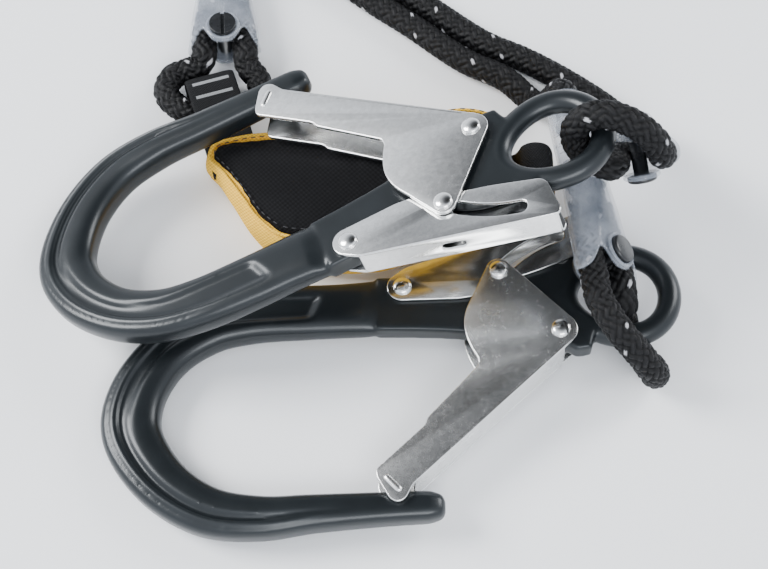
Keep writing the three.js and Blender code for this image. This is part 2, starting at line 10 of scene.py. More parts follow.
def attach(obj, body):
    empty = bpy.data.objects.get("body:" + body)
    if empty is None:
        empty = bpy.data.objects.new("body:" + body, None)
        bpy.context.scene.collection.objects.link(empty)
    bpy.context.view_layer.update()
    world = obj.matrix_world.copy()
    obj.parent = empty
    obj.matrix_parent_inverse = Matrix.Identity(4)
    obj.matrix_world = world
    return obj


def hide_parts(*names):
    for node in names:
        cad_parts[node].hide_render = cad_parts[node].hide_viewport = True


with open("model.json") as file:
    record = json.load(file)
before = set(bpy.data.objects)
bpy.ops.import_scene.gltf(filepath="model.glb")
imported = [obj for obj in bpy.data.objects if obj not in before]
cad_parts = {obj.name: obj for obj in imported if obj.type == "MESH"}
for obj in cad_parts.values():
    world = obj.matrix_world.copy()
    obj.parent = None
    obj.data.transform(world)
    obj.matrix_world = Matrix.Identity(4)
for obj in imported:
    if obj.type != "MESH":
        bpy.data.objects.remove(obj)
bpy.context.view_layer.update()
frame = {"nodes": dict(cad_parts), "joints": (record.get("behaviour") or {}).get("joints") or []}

# ---- sizes, in millimetres, as the CAD source gives them ----------------------
MM = 0.001
ORIGIN = np.array([-10.427, 47.378, -0.009])
ROPE_D = 11.0
BRAID_DEPTH = 1.7
BRAID_SWELL = 0.35
LEVER_RIVET = (-63.0, -22.5)
HOOK_PIN = (-23.5, -27.5)
GATE_OPEN_DEG = 46.0
LEVER_PRESS_DEG = 7.0
NECK_T = 9.0
LEVER_GAP = 4.8
LEVER_SHEET = 1.5
GATE_GAP = 6.7
GATE_SHEET = 1.8
PIN_D = 5.0
RIVET_HEAD_D = 7.6
RIVET_HEAD_H = 1.8
RING_CENTRE = (24.7, -18.0)
RING_SEMI = (21.0, 18.2)
RING_BAR_D = 9.8
RING_BAR_T = 9.1
SLEEVE_W = 21.6
SLEEVE_T = 17.5
SLEEVE_MOUTH_W = 33.0
SLEEVE_WALL = 1.1
LEG_OFFSET = 9.2
SCREW_BACK = 8.0
SCREW_HEAD_D = 12.0
SCREW_HEAD_H = 2.2
STRAP_T = 2.1
SLING_W = 22.0
EYE_STRAP_W = 26.0
BAG_TOP = 46.0
CLOTH_FRAMES = 20
TABLE_GAP = 0.4
TABLE_HALF = 4000
UV_MM = 100.0
WELD_M = 2e-6
SHARP_DEG = 40
CARRIERS = 9
CELL = 3.7
TRACER_CARRIER = 3

# Hook body stations: u, v, width in the hook's plane, thickness.
BODY = [
    (-48.5, 70.6, 5, 5), (-50, 70.6, 9, 9), (-55, 70.5, 12, 11.6), (-75, 70.9, 12.8, 12.2),
    (-100, 71.8, 14.5, 13), (-120, 73, 17, 14), (-140, 69.8, 19.5, 14), (-157.5, 58.5, 21.5, 14),
    (-169.5, 42, 23.5, 14), (-172.3, 31, 24, 14), (-169, 16, 23, 14), (-158, 0.5, 21.5, 14),
    (-142, -9.7, 21.5, 14), (-125, -13.7, 22, 14), (-103, -15, 23, 12.8), (-90, -15.2, 23, 12.2),
    (-80, -15.5, 23.5, 11.6), (-73, -16, 24, 9), (-55, -15.5, 24, 8.8),
]

# Sleeves: middle of the mouth, middle of the far end, and a direction in the plane of the two legs.
SLEEVES = {
    "p": ((-71.5, 112, 11.6), (-78, 210, 9.8), (1, 0, 0)),
    "a": ((101, 25, 60), (109, 72, 9), (0.959, 0.027, 0.271)),
    "b": ((89, -15, 34.8), (76.5, 68, 36.8), (-0.7, 0, 0.7)),
}

# Middle of each rope loop. Loop A is given in its hook's own directions.
LOOP_P = [
    (-61, 105.5, 10), (-56, 98, 9.4), (-55.5, 89, 9.3), (-62, 81.5, 9.3), (-75, 79.3, 9.3),
    (-89, 82.5, 9.3), (-96.5, 91, 9.3), (-94.5, 99.5, 9.4), (-83, 105.5, 10),
]
LOOP_A_ON_HOOK = [
    (61.5, -37, -12.5), (59, -36.3, -1), (53, -31.2, 7.6), (44.4, -25.2, 11.2),
    (36.9, -21.9, 7.8), (33.8, -21.2, 0), (35.4, -24.8, -8.4), (41.5, -30.6, -14.2),
]
LOOP_B = [
    (84, -27, 41), (90, -38, 38.5), (99, -46, 31), (107, -49, 20), (109, -46, 9.5),
    (106.5, -39, 5.9), (102, -29, 5.9), (98.5, -21.5, 9.5), (97, -19.5, 17), (96.6, -21.8, 24),
]

# Centre line shared by the two rope arms, and the end of each before its sleeve.
ARM_LINE = [
    (-79.5, 222), (-84, 262), (-66, 318), (-8, 346), (50, 334), (76, 292),
    (56, 250), (8, 238), (-34, 222), (-38, 186), (-14, 160), (16, 136),
]
ARM_ENDS = {"a": [(45, 121), (64, 111), (82, 99), (98, 86)], "b": [(36, 111), (54, 101), (68, 87)]}
ARM_GAP = 13.0
ARM_LEVEL = ROPE_D / 2 + 1

BAG_OUTLINE = [
    (-44, 6), (-25, 1.5), (-5, 1), (9, 4.5), (36, 14), (48, 19), (53, 25), (54.2, 35), (54.2, 48),
    (51, 58), (42, 63.5), (20, 65.5), (-15, 66), (-45, 66.5), (-62, 67), (-76, 64), (-79, 54),
    (-71, 42), (-63, 29), (-55, 16),
]

# Rings of the bag's two shells, bottom to top: inset, share of the bag's height, drop.
COVER_RINGS = [(5.2, 0.6, 0), (4.4, 0.72, 0), (4.2, 0.82, 0), (4.6, 0.89, 0), (5.6, 0.95, 0.6),
               (7.6, 1, 1.6), (10.5, 1, 1.1), (14, 1, 0.9)]
TRAY_RINGS = [(5.5, 0, -0.9), (2.2, 0, -2.0), (0.9, 0, -5.5), (0.4, 0.3, 0), (0.3, 0.5, 0),
              (0.5, 0.64, 0), (1.3, 0.78, 0), (2.6, 0.86, 0), (4.4, 0.84, 0)]


# ---- curve helpers -------------------------------------------------------------
def catmull(points, steps=12, closed=False):
    """Centripetal Catmull-Rom curve through the points."""
    p = np.array(points, float)
    p = np.vstack([p[-1], p, p[:2]]) if closed else np.vstack([2 * p[0] - p[1], p, 2 * p[-1] - p[-2]])
    out = []
    for i in range(1, len(p) - 2):
        a, b, c, d = p[i - 1:i + 3]
        gaps = [max(np.linalg.norm(q - r), 1e-9) ** 0.5 for q, r in ((b, a), (c, b), (d, c))]
        t0, t1, t2, t3 = np.cumsum([0.0] + gaps)
        for t in np.linspace(t1, t2, steps, endpoint=False):
            ab = ((t1 - t) * a + (t - t0) * b) / (t1 - t0)
            bc = ((t2 - t) * b + (t - t1) * c) / (t2 - t1)
            cd = ((t3 - t) * c + (t - t2) * d) / (t3 - t2)
            abc = ((t2 - t) * ab + (t - t0) * bc) / (t2 - t0)
            bcd = ((t3 - t) * bc + (t - t1) * cd) / (t3 - t1)
            out.append(((t2 - t) * abc + (t - t1) * bcd) / (t2 - t1))
    if not closed:
        out.append(p[-2])
    return np.array(out)


def resample(line, step):
    """The same line with points evenly spaced, about one step apart."""
    line = np.array(line, float)
    along = np.concatenate([[0], np.cumsum(np.linalg.norm(np.diff(line, axis=0), axis=1))])
    count = max(2, int(round(along[-1] / step)) + 1)
    wanted = np.linspace(0, along[-1], count)
    return np.stack([np.interp(wanted, along, line[:, k]) for k in range(line.shape[1])], axis=1)


def length_of(line):
    return float(np.linalg.norm(np.diff(line, axis=0), axis=1).sum())


def carried_frames(line):
    """Tangent, side and normal at each point, carried along the line without twisting."""
    tangents = np.gradient(line, axis=0)
    tangents /= np.linalg.norm(tangents, axis=1)[:, None]
    side = np.cross((0, 0, 1), tangents[0])
    if np.linalg.norm(side) < 1e-3:
        side = np.cross((0.3, 1, 0.2), tangents[0])
    sides = []
    for t in tangents:
        side = side - t * side.dot(t)
        side = side / np.linalg.norm(side)
        sides.append(side)
    sides = np.array(sides)
    return tangents, sides, np.cross(tangents, sides)


def smoothstep(lo, hi, x):
    t = np.clip((np.asarray(x, float) - lo) / (hi - lo), 0, 1)
    return t * t * (3 - 2 * t)


def rounded(outline, radius, steps=5):
    """The outline with each corner replaced by a small curve."""
    p = [np.array(q, float) for q in outline]
    out = []
    for i, corner in enumerate(p):
        before, after = p[i - 1] - corner, p[(i + 1) % len(p)] - corner
        la, lb = np.linalg.norm(before), np.linalg.norm(after)
        cut = min(radius, 0.45 * la, 0.45 * lb)
        a, b = corner + before / la * cut, corner + after / lb * cut
        for k in range(steps + 1):
            t = k / steps
            out.append((1 - t) ** 2 * a + 2 * t * (1 - t) * corner + t * t * b)
    return out


def plane_normals(line):
    """Left-hand unit normal at each point of a line in a plane."""
    step = np.gradient(line, axis=0)
    step /= np.linalg.norm(step, axis=1)[:, None]
    return np.stack([-step[:, 1], step[:, 0]], axis=1)


def arc(cx, cy, r, start, end, count):
    angles = np.radians(np.linspace(start, end, count))
    return [(cx + r * math.cos(t), cy + r * math.sin(t)) for t in angles]


def turned(point, centre, degrees):
    c, s = math.cos(math.radians(degrees)), math.sin(math.radians(degrees))
    dx, dy = point[0] - centre[0], point[1] - centre[1]
    return centre[0] + dx * c - dy * s, centre[1] + dx * s + dy * c


# ---- mesh helpers ---------------------------------------------------------------
def linked(obj):
    bpy.context.scene.collection.objects.link(obj)
    return obj


def directions(x_axis, y_axis, z_axis, origin):
    """Matrix with these three directions and this origin, in metres."""
    rows = [(x_axis[k], y_axis[k], z_axis[k], origin[k]) for k in range(3)]
    return Matrix((*rows, (0, 0, 0, 1)))


def make_mesh(name, verts, faces, place=None):
    """Mesh object from points in millimetres, put into the frame by place or by the CAD origin."""
    verts = np.array(verts, float)
    if place is None:
        verts = verts - ORIGIN
    mesh = bpy.data.meshes.new(name)
    mesh.from_pydata([tuple(v * MM) for v in verts], [], faces)
    mesh.validate()
    obj = linked(bpy.data.objects.new(name, mesh))
    if place is not None:
        mesh.transform(place)
    mesh.shade_smooth()
    return obj


def tube_faces(rings, sides, closed=False, caps=True):
    """Quads between consecutive rings of points, with flat ends unless closed."""
    faces = []
    for i in range(rings if closed else rings - 1):
        a, b = i * sides, ((i + 1) % rings) * sides
        for j in range(sides):
            k = (j + 1) % sides
            faces.append((a + j, a + k, b + k, b + j))
    if caps and not closed:
        faces.append(tuple(range(sides - 1, -1, -1)))
        faces.append(tuple((rings - 1) * sides + j for j in range(sides)))
    return faces


def applied(obj, *modifiers):
    """Adds each modifier, given as (type, settings), and bakes them all into the mesh."""
    for kind, settings in modifiers:
        modifier = obj.modifiers.new(kind.title(), kind)
        for key, value in settings.items():
            setattr(modifier, key, value)
    bpy.context.view_layer.update()
    evaluated = obj.evaluated_get(bpy.context.evaluated_depsgraph_get())
    mesh = bpy.data.meshes.new_from_object(evaluated)
    mesh.name = obj.name
    obj.modifiers.clear()
    obj.data = mesh
    mesh.shade_smooth()
    return obj


def joined(name, objects):
    """One object from several, with all their vertices, faces and attributes."""
    bpy.ops.object.select_all(action="DESELECT")
    for obj in objects:
        obj.select_set(True)
    bpy.context.view_layer.objects.active = objects[0]
    bpy.ops.object.join()
    objects[0].name = name
    objects[0].data.name = name
    return objects[0]


def plate(name, outline, holes, thickness, middle, edge, place):
    """Flat plate with rounded edges: outline and holes in its own plane, extruded both ways."""
    curve = bpy.data.curves.new(name, "CURVE")
    curve.dimensions = "2D"
    curve.fill_mode = "BOTH"
    for loop in [outline, *holes]:
        spline = curve.splines.new("POLY")
        spline.points.add(len(loop) - 1)
        for point, (x, y) in zip(spline.points, loop):
            point.co = (x * MM, y * MM, 0, 1)
        spline.use_cyclic_u = True
    curve.extrude = (thickness / 2 - edge) * MM
    curve.bevel_depth = edge * MM
    curve.bevel_resolution = 3
    curve.offset = -edge * MM
    drawn = linked(bpy.data.objects.new(name, curve))
    bpy.context.view_layer.update()
    mesh = bpy.data.meshes.new_from_object(drawn.evaluated_get(bpy.context.evaluated_depsgraph_get()))
    bpy.data.objects.remove(drawn)
    obj = linked(bpy.data.objects.new(name, mesh))
    mesh.transform(place @ Matrix.Translation((0, 0, middle * MM)))
    mesh.shade_smooth()
    return applied(obj, ("WELD", {"merge_threshold": WELD_M}),
                   ("EDGE_SPLIT", {"split_angle": math.radians(SHARP_DEG)}))


def disc_outline(x, y, radius, count=40):
    return arc(x, y, radius, 0, 360 - 360 / count, count)


def lathe(name, profile, place, count=40):
    """Solid of revolution about the local z axis from (radius, height) points."""
    verts = []
    for r, z in profile:
        for x, y in disc_outline(0, 0, max(r, 1e-4), count):
            verts.append((x, y, z))
    return make_mesh(name, verts, tube_faces(len(profile), count), place)


def finish_piece(obj, body, material, slot, *nodes):
    """Gives a piece its material and body, and hides the CAD nodes that it stands for. The slot argument is
    not used.
    """
    obj.data.materials.clear()
    obj.data.materials.append(material)
    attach(obj, body)
    if nodes:
        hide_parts(*nodes)
    return obj


# ---- materials --------------------------------------------------------------------
def new_material(name):
    material = bpy.data.materials.new(name)
    material.use_nodes = True
    tree = material.node_tree
    return material, tree, tree.nodes["Principled BSDF"]


def preset(made, **inputs):
    """Sets input sockets by name, with _ for a space."""
    for key, value in inputs.items():
        made.inputs[key.replace("_", " ")].default_value = value
    return made


def node(tree, kind, **inputs):
    return preset(tree.nodes.new(kind), **inputs)


def object_coords(tree, scale=(1, 1, 1)):
    coords = tree.nodes.new("ShaderNodeTexCoord")
    mapping = node(tree, "ShaderNodeMapping", Scale=scale)
    tree.links.new(coords.outputs["Object"], mapping.inputs["Vector"])
    return mapping.outputs["Vector"]


def noise_node(tree, vector, scale, detail=4.0, roughness=0.6):
    made = node(tree, "ShaderNodeTexNoise", Scale=scale, Detail=detail, Roughness=roughness)
    tree.links.new(vector, made.inputs["Vector"])
    return made.outputs["Fac"]


def ramp(tree, factor, stops):
    """Colour ramp over (position, colour) stops."""
    made = tree.nodes.new("ShaderNodeValToRGB")
    elements = made.color_ramp.elements
    while len(elements) < len(stops):
        elements.new(0.5)
    for element, (position, colour) in zip(elements, stops):
        element.position = position
        element.color = (*colour, 1)
    tree.links.new(factor, made.inputs["Fac"])
    return made.outputs["Color"]


def remap(tree, factor, low, high):
    made = node(tree, "ShaderNodeMapRange", To_Min=low, To_Max=high)
    tree.links.new(factor, made.inputs["Value"])
    return made.outputs["Result"]


def mix(tree, factor, a, b, blend="MIX"):
    made = tree.nodes.new("ShaderNodeMix")
    made.data_type = "RGBA"
    made.blend_type = blend
    for socket, value in ((made.inputs[0], factor), (made.inputs[6], a), (made.inputs[7], b)):
        if isinstance(value, bpy.types.NodeSocket):
            tree.links.new(value, socket)
        else:
            socket.default_value = value if isinstance(value, float) else (*value, 1)
    return made.outputs[2]


def math_node(tree, operation, a, b=0.5):
    made = tree.nodes.new("ShaderNodeMath")
    made.operation = operation
    for socket, value in zip(made.inputs, (a, b)):
        if isinstance(value, bpy.types.NodeSocket):
            tree.links.new(value, socket)
        else:
            socket.default_value = value
    return made.outputs[0]


def times(tree, product, *factors):
    for factor in factors:
        product = math_node(tree, "MULTIPLY", product, factor)
    return product


def between(tree, value, start, end):
    """1 where the value lies between start and end, else 0."""
    above = math_node(tree, "GREATER_THAN", value, start)
    return times(tree, above, math_node(tree, "LESS_THAN", value, end))


def bump(tree, shader, height, strength, distance=0.0003):
    made = node(tree, "ShaderNodeBump", Strength=strength, Distance=distance)
    tree.links.new(height, made.inputs["Height"])
    tree.links.new(made.outputs["Normal"], shader.inputs["Normal"])


def anodised():
    """Dark blue-grey satin anodised forging: fine grain, soft mottling and paler worn ridges."""
    material, tree, shader = new_material("anodised_forging")
    vector = object_coords(tree)
    mottle = noise_node(tree, vector, 55, 3)
    grain = noise_node(tree, vector, 2600, 2)
    geometry = tree.nodes.new("ShaderNodeNewGeometry")
    worn = remap(tree, geometry.outputs["Pointiness"], -1.6, 2.4)
    base = ramp(tree, mottle, [(0.3, (0.0042, 0.0062, 0.0076)), (0.7, (0.0078, 0.0105, 0.0127))])
    clamp = tree.nodes.new("ShaderNodeClamp")
    tree.links.new(times(tree, worn, 0.35), clamp.inputs["Value"])
    tree.links.new(mix(tree, clamp.outputs[0], base, (0.05, 0.058, 0.064)), shader.inputs["Base Color"])
    tree.links.new(remap(tree, mottle, 0.26, 0.34), shader.inputs["Roughness"])
    preset(shader, Metallic=0.4, Coat_Weight=0.12, Coat_Roughness=0.3)
    bump(tree, shader, grain, 0.12, 0.0001)
    return material


def steel(name, tint, rough_low, rough_high, brush):
    """Bright rolled sheet: faint spangle, fine scratches along the sheet and uneven polish."""
    material, tree, shader = new_material(name)
    vector = object_coords(tree)
    spangle = noise_node(tree, vector, 420, 5, 0.75)
    cloud = noise_node(tree, vector, 28, 3)
    scratch = noise_node(tree, object_coords(tree, (brush, 1, 1)), 900, 2)
    polish = mix(tree, 0.45, cloud, spangle)
    tone = ramp(tree, spangle, [(0.32, tuple(c * 0.84 for c in tint)), (0.7, tint)])
    tree.links.new(tone, shader.inputs["Base Color"])
    tree.links.new(remap(tree, polish, rough_low, rough_high), shader.inputs["Roughness"])
    preset(shader, Metallic=1.0)
    bump(tree, shader, scratch, 0.035, 0.0001)
    return material


def braid_material():
    """Black braid: dull yarns with painted shade that darkens the gaps between them, and white tracer yarns,
    read from the braid itself.
    """
    material, tree, shader = new_material("black_braid")
    height, tracer = (tree.nodes.new("ShaderNodeAttribute") for _ in range(2))
    height.attribute_name, tracer.attribute_name = "braid_height", "tracer"
    vector = object_coords(tree)
    fibre = noise_node(tree, vector, 3200, 3, 0.7)
    patch = noise_node(tree, vector, 160, 2)
    # Painted shade: the base colour goes from near black in the braid's low gaps to dark grey on the yarn
    # tops.
    stops = [(0.3, (0.0001, 0.0001, 0.0001)), (0.95, (0.0045, 0.0045, 0.0052))]
    black = ramp(tree, height.outputs["Fac"], stops)
    dusty_and_gap_shaded = mix(tree, times(tree, patch, 0.2), black, (0.006, 0.006, 0.007))
    tree.links.new(mix(tree, tracer.outputs["Fac"], dusty_and_gap_shaded, (0.4, 0.4, 0.42)), shader.inputs["Base Color"])
    preset(shader, Roughness=0.48, Specular_IOR_Level=0.2)
    bump(tree, shader, fibre, 0.5, 0.0003)
    return material


def clear_plastic():
    """Clear tube gone slightly milky: haze and flow marks vary over it."""
    material, tree, shader = new_material("clear_plastic")
    vector = object_coords(tree)
    haze = noise_node(tree, vector, 60, 4)
    ripple = noise_node(tree, object_coords(tree, (1, 0.25, 1)), 130, 2)
    milky = ramp(tree, haze, [(0.3, (0.30, 0.34, 0.41)), (0.7, (0.56, 0.60, 0.67))])
    tree.links.new(milky, shader.inputs["Base Color"])
    tree.links.new(remap(tree, haze, 0.16, 0.42), shader.inputs["Alpha"])
    tree.links.new(remap(tree, haze, 0.1, 0.24), shader.inputs["Roughness"])
    preset(shader, IOR=1.46, Coat_Weight=0.5, Coat_Roughness=0.06)
    bump(tree, shader, ripple, 0.35, 0.0008)
    return material


def black_plastic():
    """Moulded black plastic with a fine spark texture."""
    material, tree, shader = new_material("moulded_black")
    vector = object_coords(tree)
    stops = [(0.3, (0.008, 0.009, 0.010)), (0.7, (0.016, 0.017, 0.019))]
    tone = ramp(tree, noise_node(tree, vector, 300), stops)
    tree.links.new(tone, shader.inputs["Base Color"])
    tree.links.new(remap(tree, noise_node(tree, vector, 90), 0.22, 0.36), shader.inputs["Roughness"])
    bump(tree, shader, noise_node(tree, vector, 2400, 2), 0.1, 0.0001)
    return material


def woven(name, dark, light, pitch, depth=0.35):
    """Plain weave of fine yarns at a pitch in metres, crossing over and under, with painted shade: darker in
    the hollows, lighter on the crossings.
    """
    material, tree, shader = new_material(name)
    vector = object_coords(tree)
    split = tree.nodes.new("ShaderNodeSeparateXYZ")
    tree.links.new(vector, split.inputs[0])
    turns = math.pi / pitch
    along = math_node(tree, "SINE", times(tree, split.outputs[0], turns), 0)
    across_in = math_node(tree, "ADD", split.outputs[1], times(tree, split.outputs[2], 0.8))
    across = math_node(tree, "SINE", times(tree, across_in, turns), 0)
    weave = math_node(tree, "MULTIPLY_ADD", times(tree, along, across), 0.5)
    wear = noise_node(tree, vector, 45, 4)
    fibre = noise_node(tree, vector, 2200, 2)
    # Painted shade: the colour follows the weave's relief, dark in its hollows and light on the raised
    # crossings.
    tone = ramp(tree, weave, [(0.15, dark), (0.85, light)])
    worn_and_hollow_shaded = mix(tree, times(tree, wear, 0.3), tone, tuple(min(1, c * 1.3) for c in light))
    tree.links.new(worn_and_hollow_shaded, shader.inputs["Base Color"])
    preset(shader, Roughness=0.8, Specular_IOR_Level=0.12)
    relief = math_node(tree, "ADD", weave, times(tree, fibre, 0.5))
    bump(tree, shader, relief, depth, 0.0004)
    return material


def webbing_material(name, bars, zigzag):
    """Ribbed black webbing, with painted shade darker between the ribs. UV x runs along it and y across, in
    millimetres over 100.
    """
    material, tree, shader = new_material(name)
    uv = tree.nodes.new("ShaderNodeUVMap")
    uv.uv_map = "strap"
    split = tree.nodes.new("ShaderNodeSeparateXYZ")
    tree.links.new(uv.outputs[0], split.inputs[0])
    along, across = (times(tree, split.outputs[k], UV_MM) for k in range(2))
    ribs = math_node(tree, "SINE", times(tree, along, 6.3), 0)
    cords = math_node(tree, "SINE", times(tree, across, 4.2), 0)
    relief = math_node(tree, "MULTIPLY_ADD", times(tree, ribs, cords), 0.5)
    # Painted shade: the colour follows the ribs' relief, darker in the low places between them.
    tone = ramp(tree, relief, [(0.2, (0.0008, 0.0008, 0.001)), (0.9, (0.009, 0.0095, 0.011))])
    for start, end in bars:
        short = math_node(tree, "LESS_THAN", math_node(tree, "ABSOLUTE", across, 0), 8.2)
        thread = times(tree, between(tree, along, start, end), short, 0.6)
        tone = mix(tree, thread, tone, (0.36, 0.37, 0.38))
    if zigzag:
        wave = math_node(tree, "PINGPONG", across, 1.6)
        folded = math_node(tree, "PINGPONG", math_node(tree, "ADD", along, wave), 1.7)
        line = math_node(tree, "ABSOLUTE", math_node(tree, "SUBTRACT", folded, 0.85), 0)
        stitch = times(tree, math_node(tree, "LESS_THAN", line, 0.42), between(tree, along, *zigzag))
        tone = mix(tree, stitch, tone, (0.72, 0.42, 0.05))
    tree.links.new(tone, shader.inputs["Base Color"])
    preset(shader, Roughness=0.75, Specular_IOR_Level=0.2)
    bump(tree, shader, relief, 0.6, 0.0005)
    return material


def label_material():
    """Pale wrap with a few plain grey bars and blocks, and no lettering."""
    material, tree, shader = new_material("printed_wrap")
    vector = object_coords(tree)
    split = tree.nodes.new("ShaderNodeSeparateXYZ")
    tree.links.new(vector, split.inputs[0])
    lines = math_node(tree, "PINGPONG", split.outputs[1], 0.0022)
    bar = math_node(tree, "LESS_THAN", lines, 0.0008)
    block = math_node(tree, "GREATER_THAN", noise_node(tree, vector, 240, 1), 0.5)
    ink = times(tree, bar, block, 0.7)
    tree.links.new(mix(tree, ink, (0.74, 0.75, 0.77), (0.16, 0.17, 0.19)), shader.inputs["Base Color"])
    preset(shader, Roughness=0.55)
    return material


# ---- hooks --------------------------------------------------------------------------
def hook_place(tag):
    """Matrix of a hook's own directions, from its gate pivot and lever rivet in the CAD record."""
    joints = {j["name"]: j for j in frame["joints"]}
    pivot = Vector(joints[f"gate_{tag}_open"]["pos_m"])
    normal = Vector(joints[f"gate_{tag}_open"]["axis"]).normalized()
    towards = Vector(joints[f"lever_{tag}_press"]["pos_m"]) - pivot
    towards = (towards - normal * towards.dot(normal)).normalized()
    u = Quaternion(normal, -math.atan2(LEVER_RIVET[1], LEVER_RIVET[0])) @ towards
    v = normal.cross(u)
    place = Matrix((u, v, normal)).transposed().to_4x4()
    place.translation = pivot
    return place


def body_sweep():
    """Forged bar of the hook: two raised ridges run round the bend with a channel between them."""
    per = 14
    line = catmull([s[:2] for s in BODY], per)
    size = catmull([s[2:] for s in BODY], per)
    station = np.arange(len(line)) / per
    side = plane_normals(line)
    sides = 72
    t = np.linspace(0, 2 * np.pi, sides, endpoint=False)
    x = np.sign(np.cos(t)) * np.abs(np.cos(t)) ** (2 / 3)
    z = np.sign(np.sin(t)) * np.abs(np.sin(t)) ** (2 / 3)
    verts = []
    for k, at in enumerate(station):
        centre = np.interp(at, [3, 6, 9, 11, 13.5], [-0.15, -0.22, -0.2, -0.12, 0.02])
        half = np.interp(at, [3, 6, 9, 11, 13.2, 14.5], [0.10, 0.15, 0.2, 0.26, 0.46, 0.42])
        starts = smoothstep(3.2, 5.2, at)
        ends = 1 - smoothstep(0, 0.3, at - (14.15 - 0.35 * x))
        channel = (1 - smoothstep(half * 0.62, half * 1.25, np.abs(x - centre))) * starts * ends * 0.24
        rim = np.exp(-((x + 0.68) / 0.07) ** 2) * 0.09
        rim = rim * smoothstep(3, 5, at) * (1 - smoothstep(12.6, 13.6, at))
        height = z * (1 - channel - rim)
        u = line[k, 0] + side[k, 0] * x * size[k, 0] / 2
        v = line[k, 1] + side[k, 1] * x * size[k, 0] / 2
        verts.extend(zip(u, v, height * size[k, 1] / 2))
    return make_mesh("sweep", verts, tube_faces(len(line), sides), Matrix.Identity(4))


def ring_point(t):
    v = RING_SEMI[1] * math.sin(t) * (1 + 0.12 * math.cos(t))
    return np.array([RING_CENTRE[0] + RING_SEMI[0] * math.cos(t), RING_CENTRE[1] + v, 0])


def eye_ring():
    """Round bar of the rope eye."""
    count, sides = 120, 36
    verts = []
    for i in range(count):
        t = 2 * math.pi * i / count
        tangent = ring_point(t + 0.01) - ring_point(t - 0.01)
        tangent /= np.linalg.norm(tangent)
        side = np.array([-tangent[1], tangent[0], 0])
        for j in range(sides):
            a = 2 * math.pi * j / sides
            up = np.array([0, 0, RING_BAR_T / 2 * math.sin(a)])
            verts.append(ring_point(t) + side * RING_BAR_D / 2 * math.cos(a) + up)
    return make_mesh("ring", verts, tube_faces(count, sides, closed=True), Matrix.Identity(4))


def neck_plate():
    """Flat neck between the lever rivet, the gate pivot and the eye."""
    inner = catmull([(-74, -4.2), (-60, -3.6), (-45, -2.6), (-30, -0.6), (-18, 2),
                     (-8, 4), (0, 4.9), (3.4, 5.6), (6, 7.2), (12, 6.8)], 4)
    along_ring = [tuple(ring_point(math.radians(118 + 124 * k / 30))[:2]) for k in range(31)]
    outer = [(10, -37.6), (6.8, -35.4), *arc(0, 0, 32.2, 276, 224, 24), (-29, -22), (-34, -23.6),
             (-43, -26.2), (-56, -28), (-74, -28.2)]
    outline = [*map(tuple, inner), *along_ring, *outer]
    return plate("neck", outline, [], NECK_T, 0, 1.3, Matrix.Identity(4))


def hook_bodies(material):
    """Both hook bodies from one forged shape, fused and softened where its parts meet."""
    forged = joined("forged", [body_sweep(), neck_plate(), eye_ring()])
    voxel = 0.7
    applied(forged, ("REMESH", {"mode": "VOXEL", "voxel_size": voxel * MM}),
            ("SMOOTH", {"factor": 0.5, "iterations": 5}))
    for tag in "ab":
        mesh = forged.data.copy()
        mesh.transform(hook_place(tag))
        piece = linked(bpy.data.objects.new(f"forged_hook_{tag}", mesh))
        finish_piece(piece, f"hook_{tag}", material, "dark_anodised_forging", f"hook_body_{tag}")
    bpy.data.objects.remove(forged)


def web_plate(name, start, end, inward, width, thickness, holes, place):
    """Web of a folded channel: a plate across the cheeks from start to end, its outer face on that line."""
    a, b = np.array(start, float), np.array(end, float)
    length = float(np.linalg.norm(b - a))
    along = (b - a) / length
    into = np.array(inward, float)
    into = into - along * into.dot(along)
    into /= np.linalg.norm(into)
    basis = directions((*along, 0), (0, 0, 1), (*into, 0), (*(a * MM), 0))
    half = width / 2
    outline = rounded([(0, -half), (length, -half), (length, half), (0, half)], 2.0)
    return plate(name, outline, holes, thickness, thickness / 2, min(0.7, thickness * 0.45), place @ basis)


def gate_outline():
    pin_end = arc(*HOOK_PIN, 5.2, 200, 322, 16)
    pivot_end = arc(0, 0, 6.8, -36, 48, 14)
    tip = [(-60.6, 64), (-63.5, 69.6), (-66.5, 71), (-69.5, 69.6), (-74.6, 60.4), (-74.8, 57.4),
           (-72.6, 55.4)]
    inner = [(-55.4, 39.6), (-54.6, 36.8), (-33.4, 14.6)]
    bulge = [(-33.6, 11.6), (-36.6, 5.5), (-38.5, -2), (-37.6, -9.5), (-33.8, -17.8)]
    smooth = [tuple(p) for p in catmull([*bulge, pin_end[0]], 6)[:-1]]
    return rounded([*pin_end, *pivot_end, *tip, *inner, *smooth], 1.6)


def pressed_rib(name, centre, direction, level, sign, place):
    """Rounded rib pressed out of the ear at the gate's tip."""
    along = np.array(direction) / np.linalg.norm(direction)
    across = np.array([-along[1], along[0]])
    verts = []
    rings, sides = 22, 12
    for i in range(rings):
        s = -1 + 2 * i / (rings - 1)
        width = 1.45 * math.sqrt(max(0.02, 1 - abs(s) ** 5))
        for j in range(sides):
            t = math.pi * j / (sides - 1)
            p = np.array(centre) + along * 4.6 * s + across * width * math.cos(t)
            verts.append((*p, sign * (level - 0.15 + 0.85 * width / 1.45 * math.sin(t))))
    return make_mesh(name, verts, tube_faces(rings, sides), place)


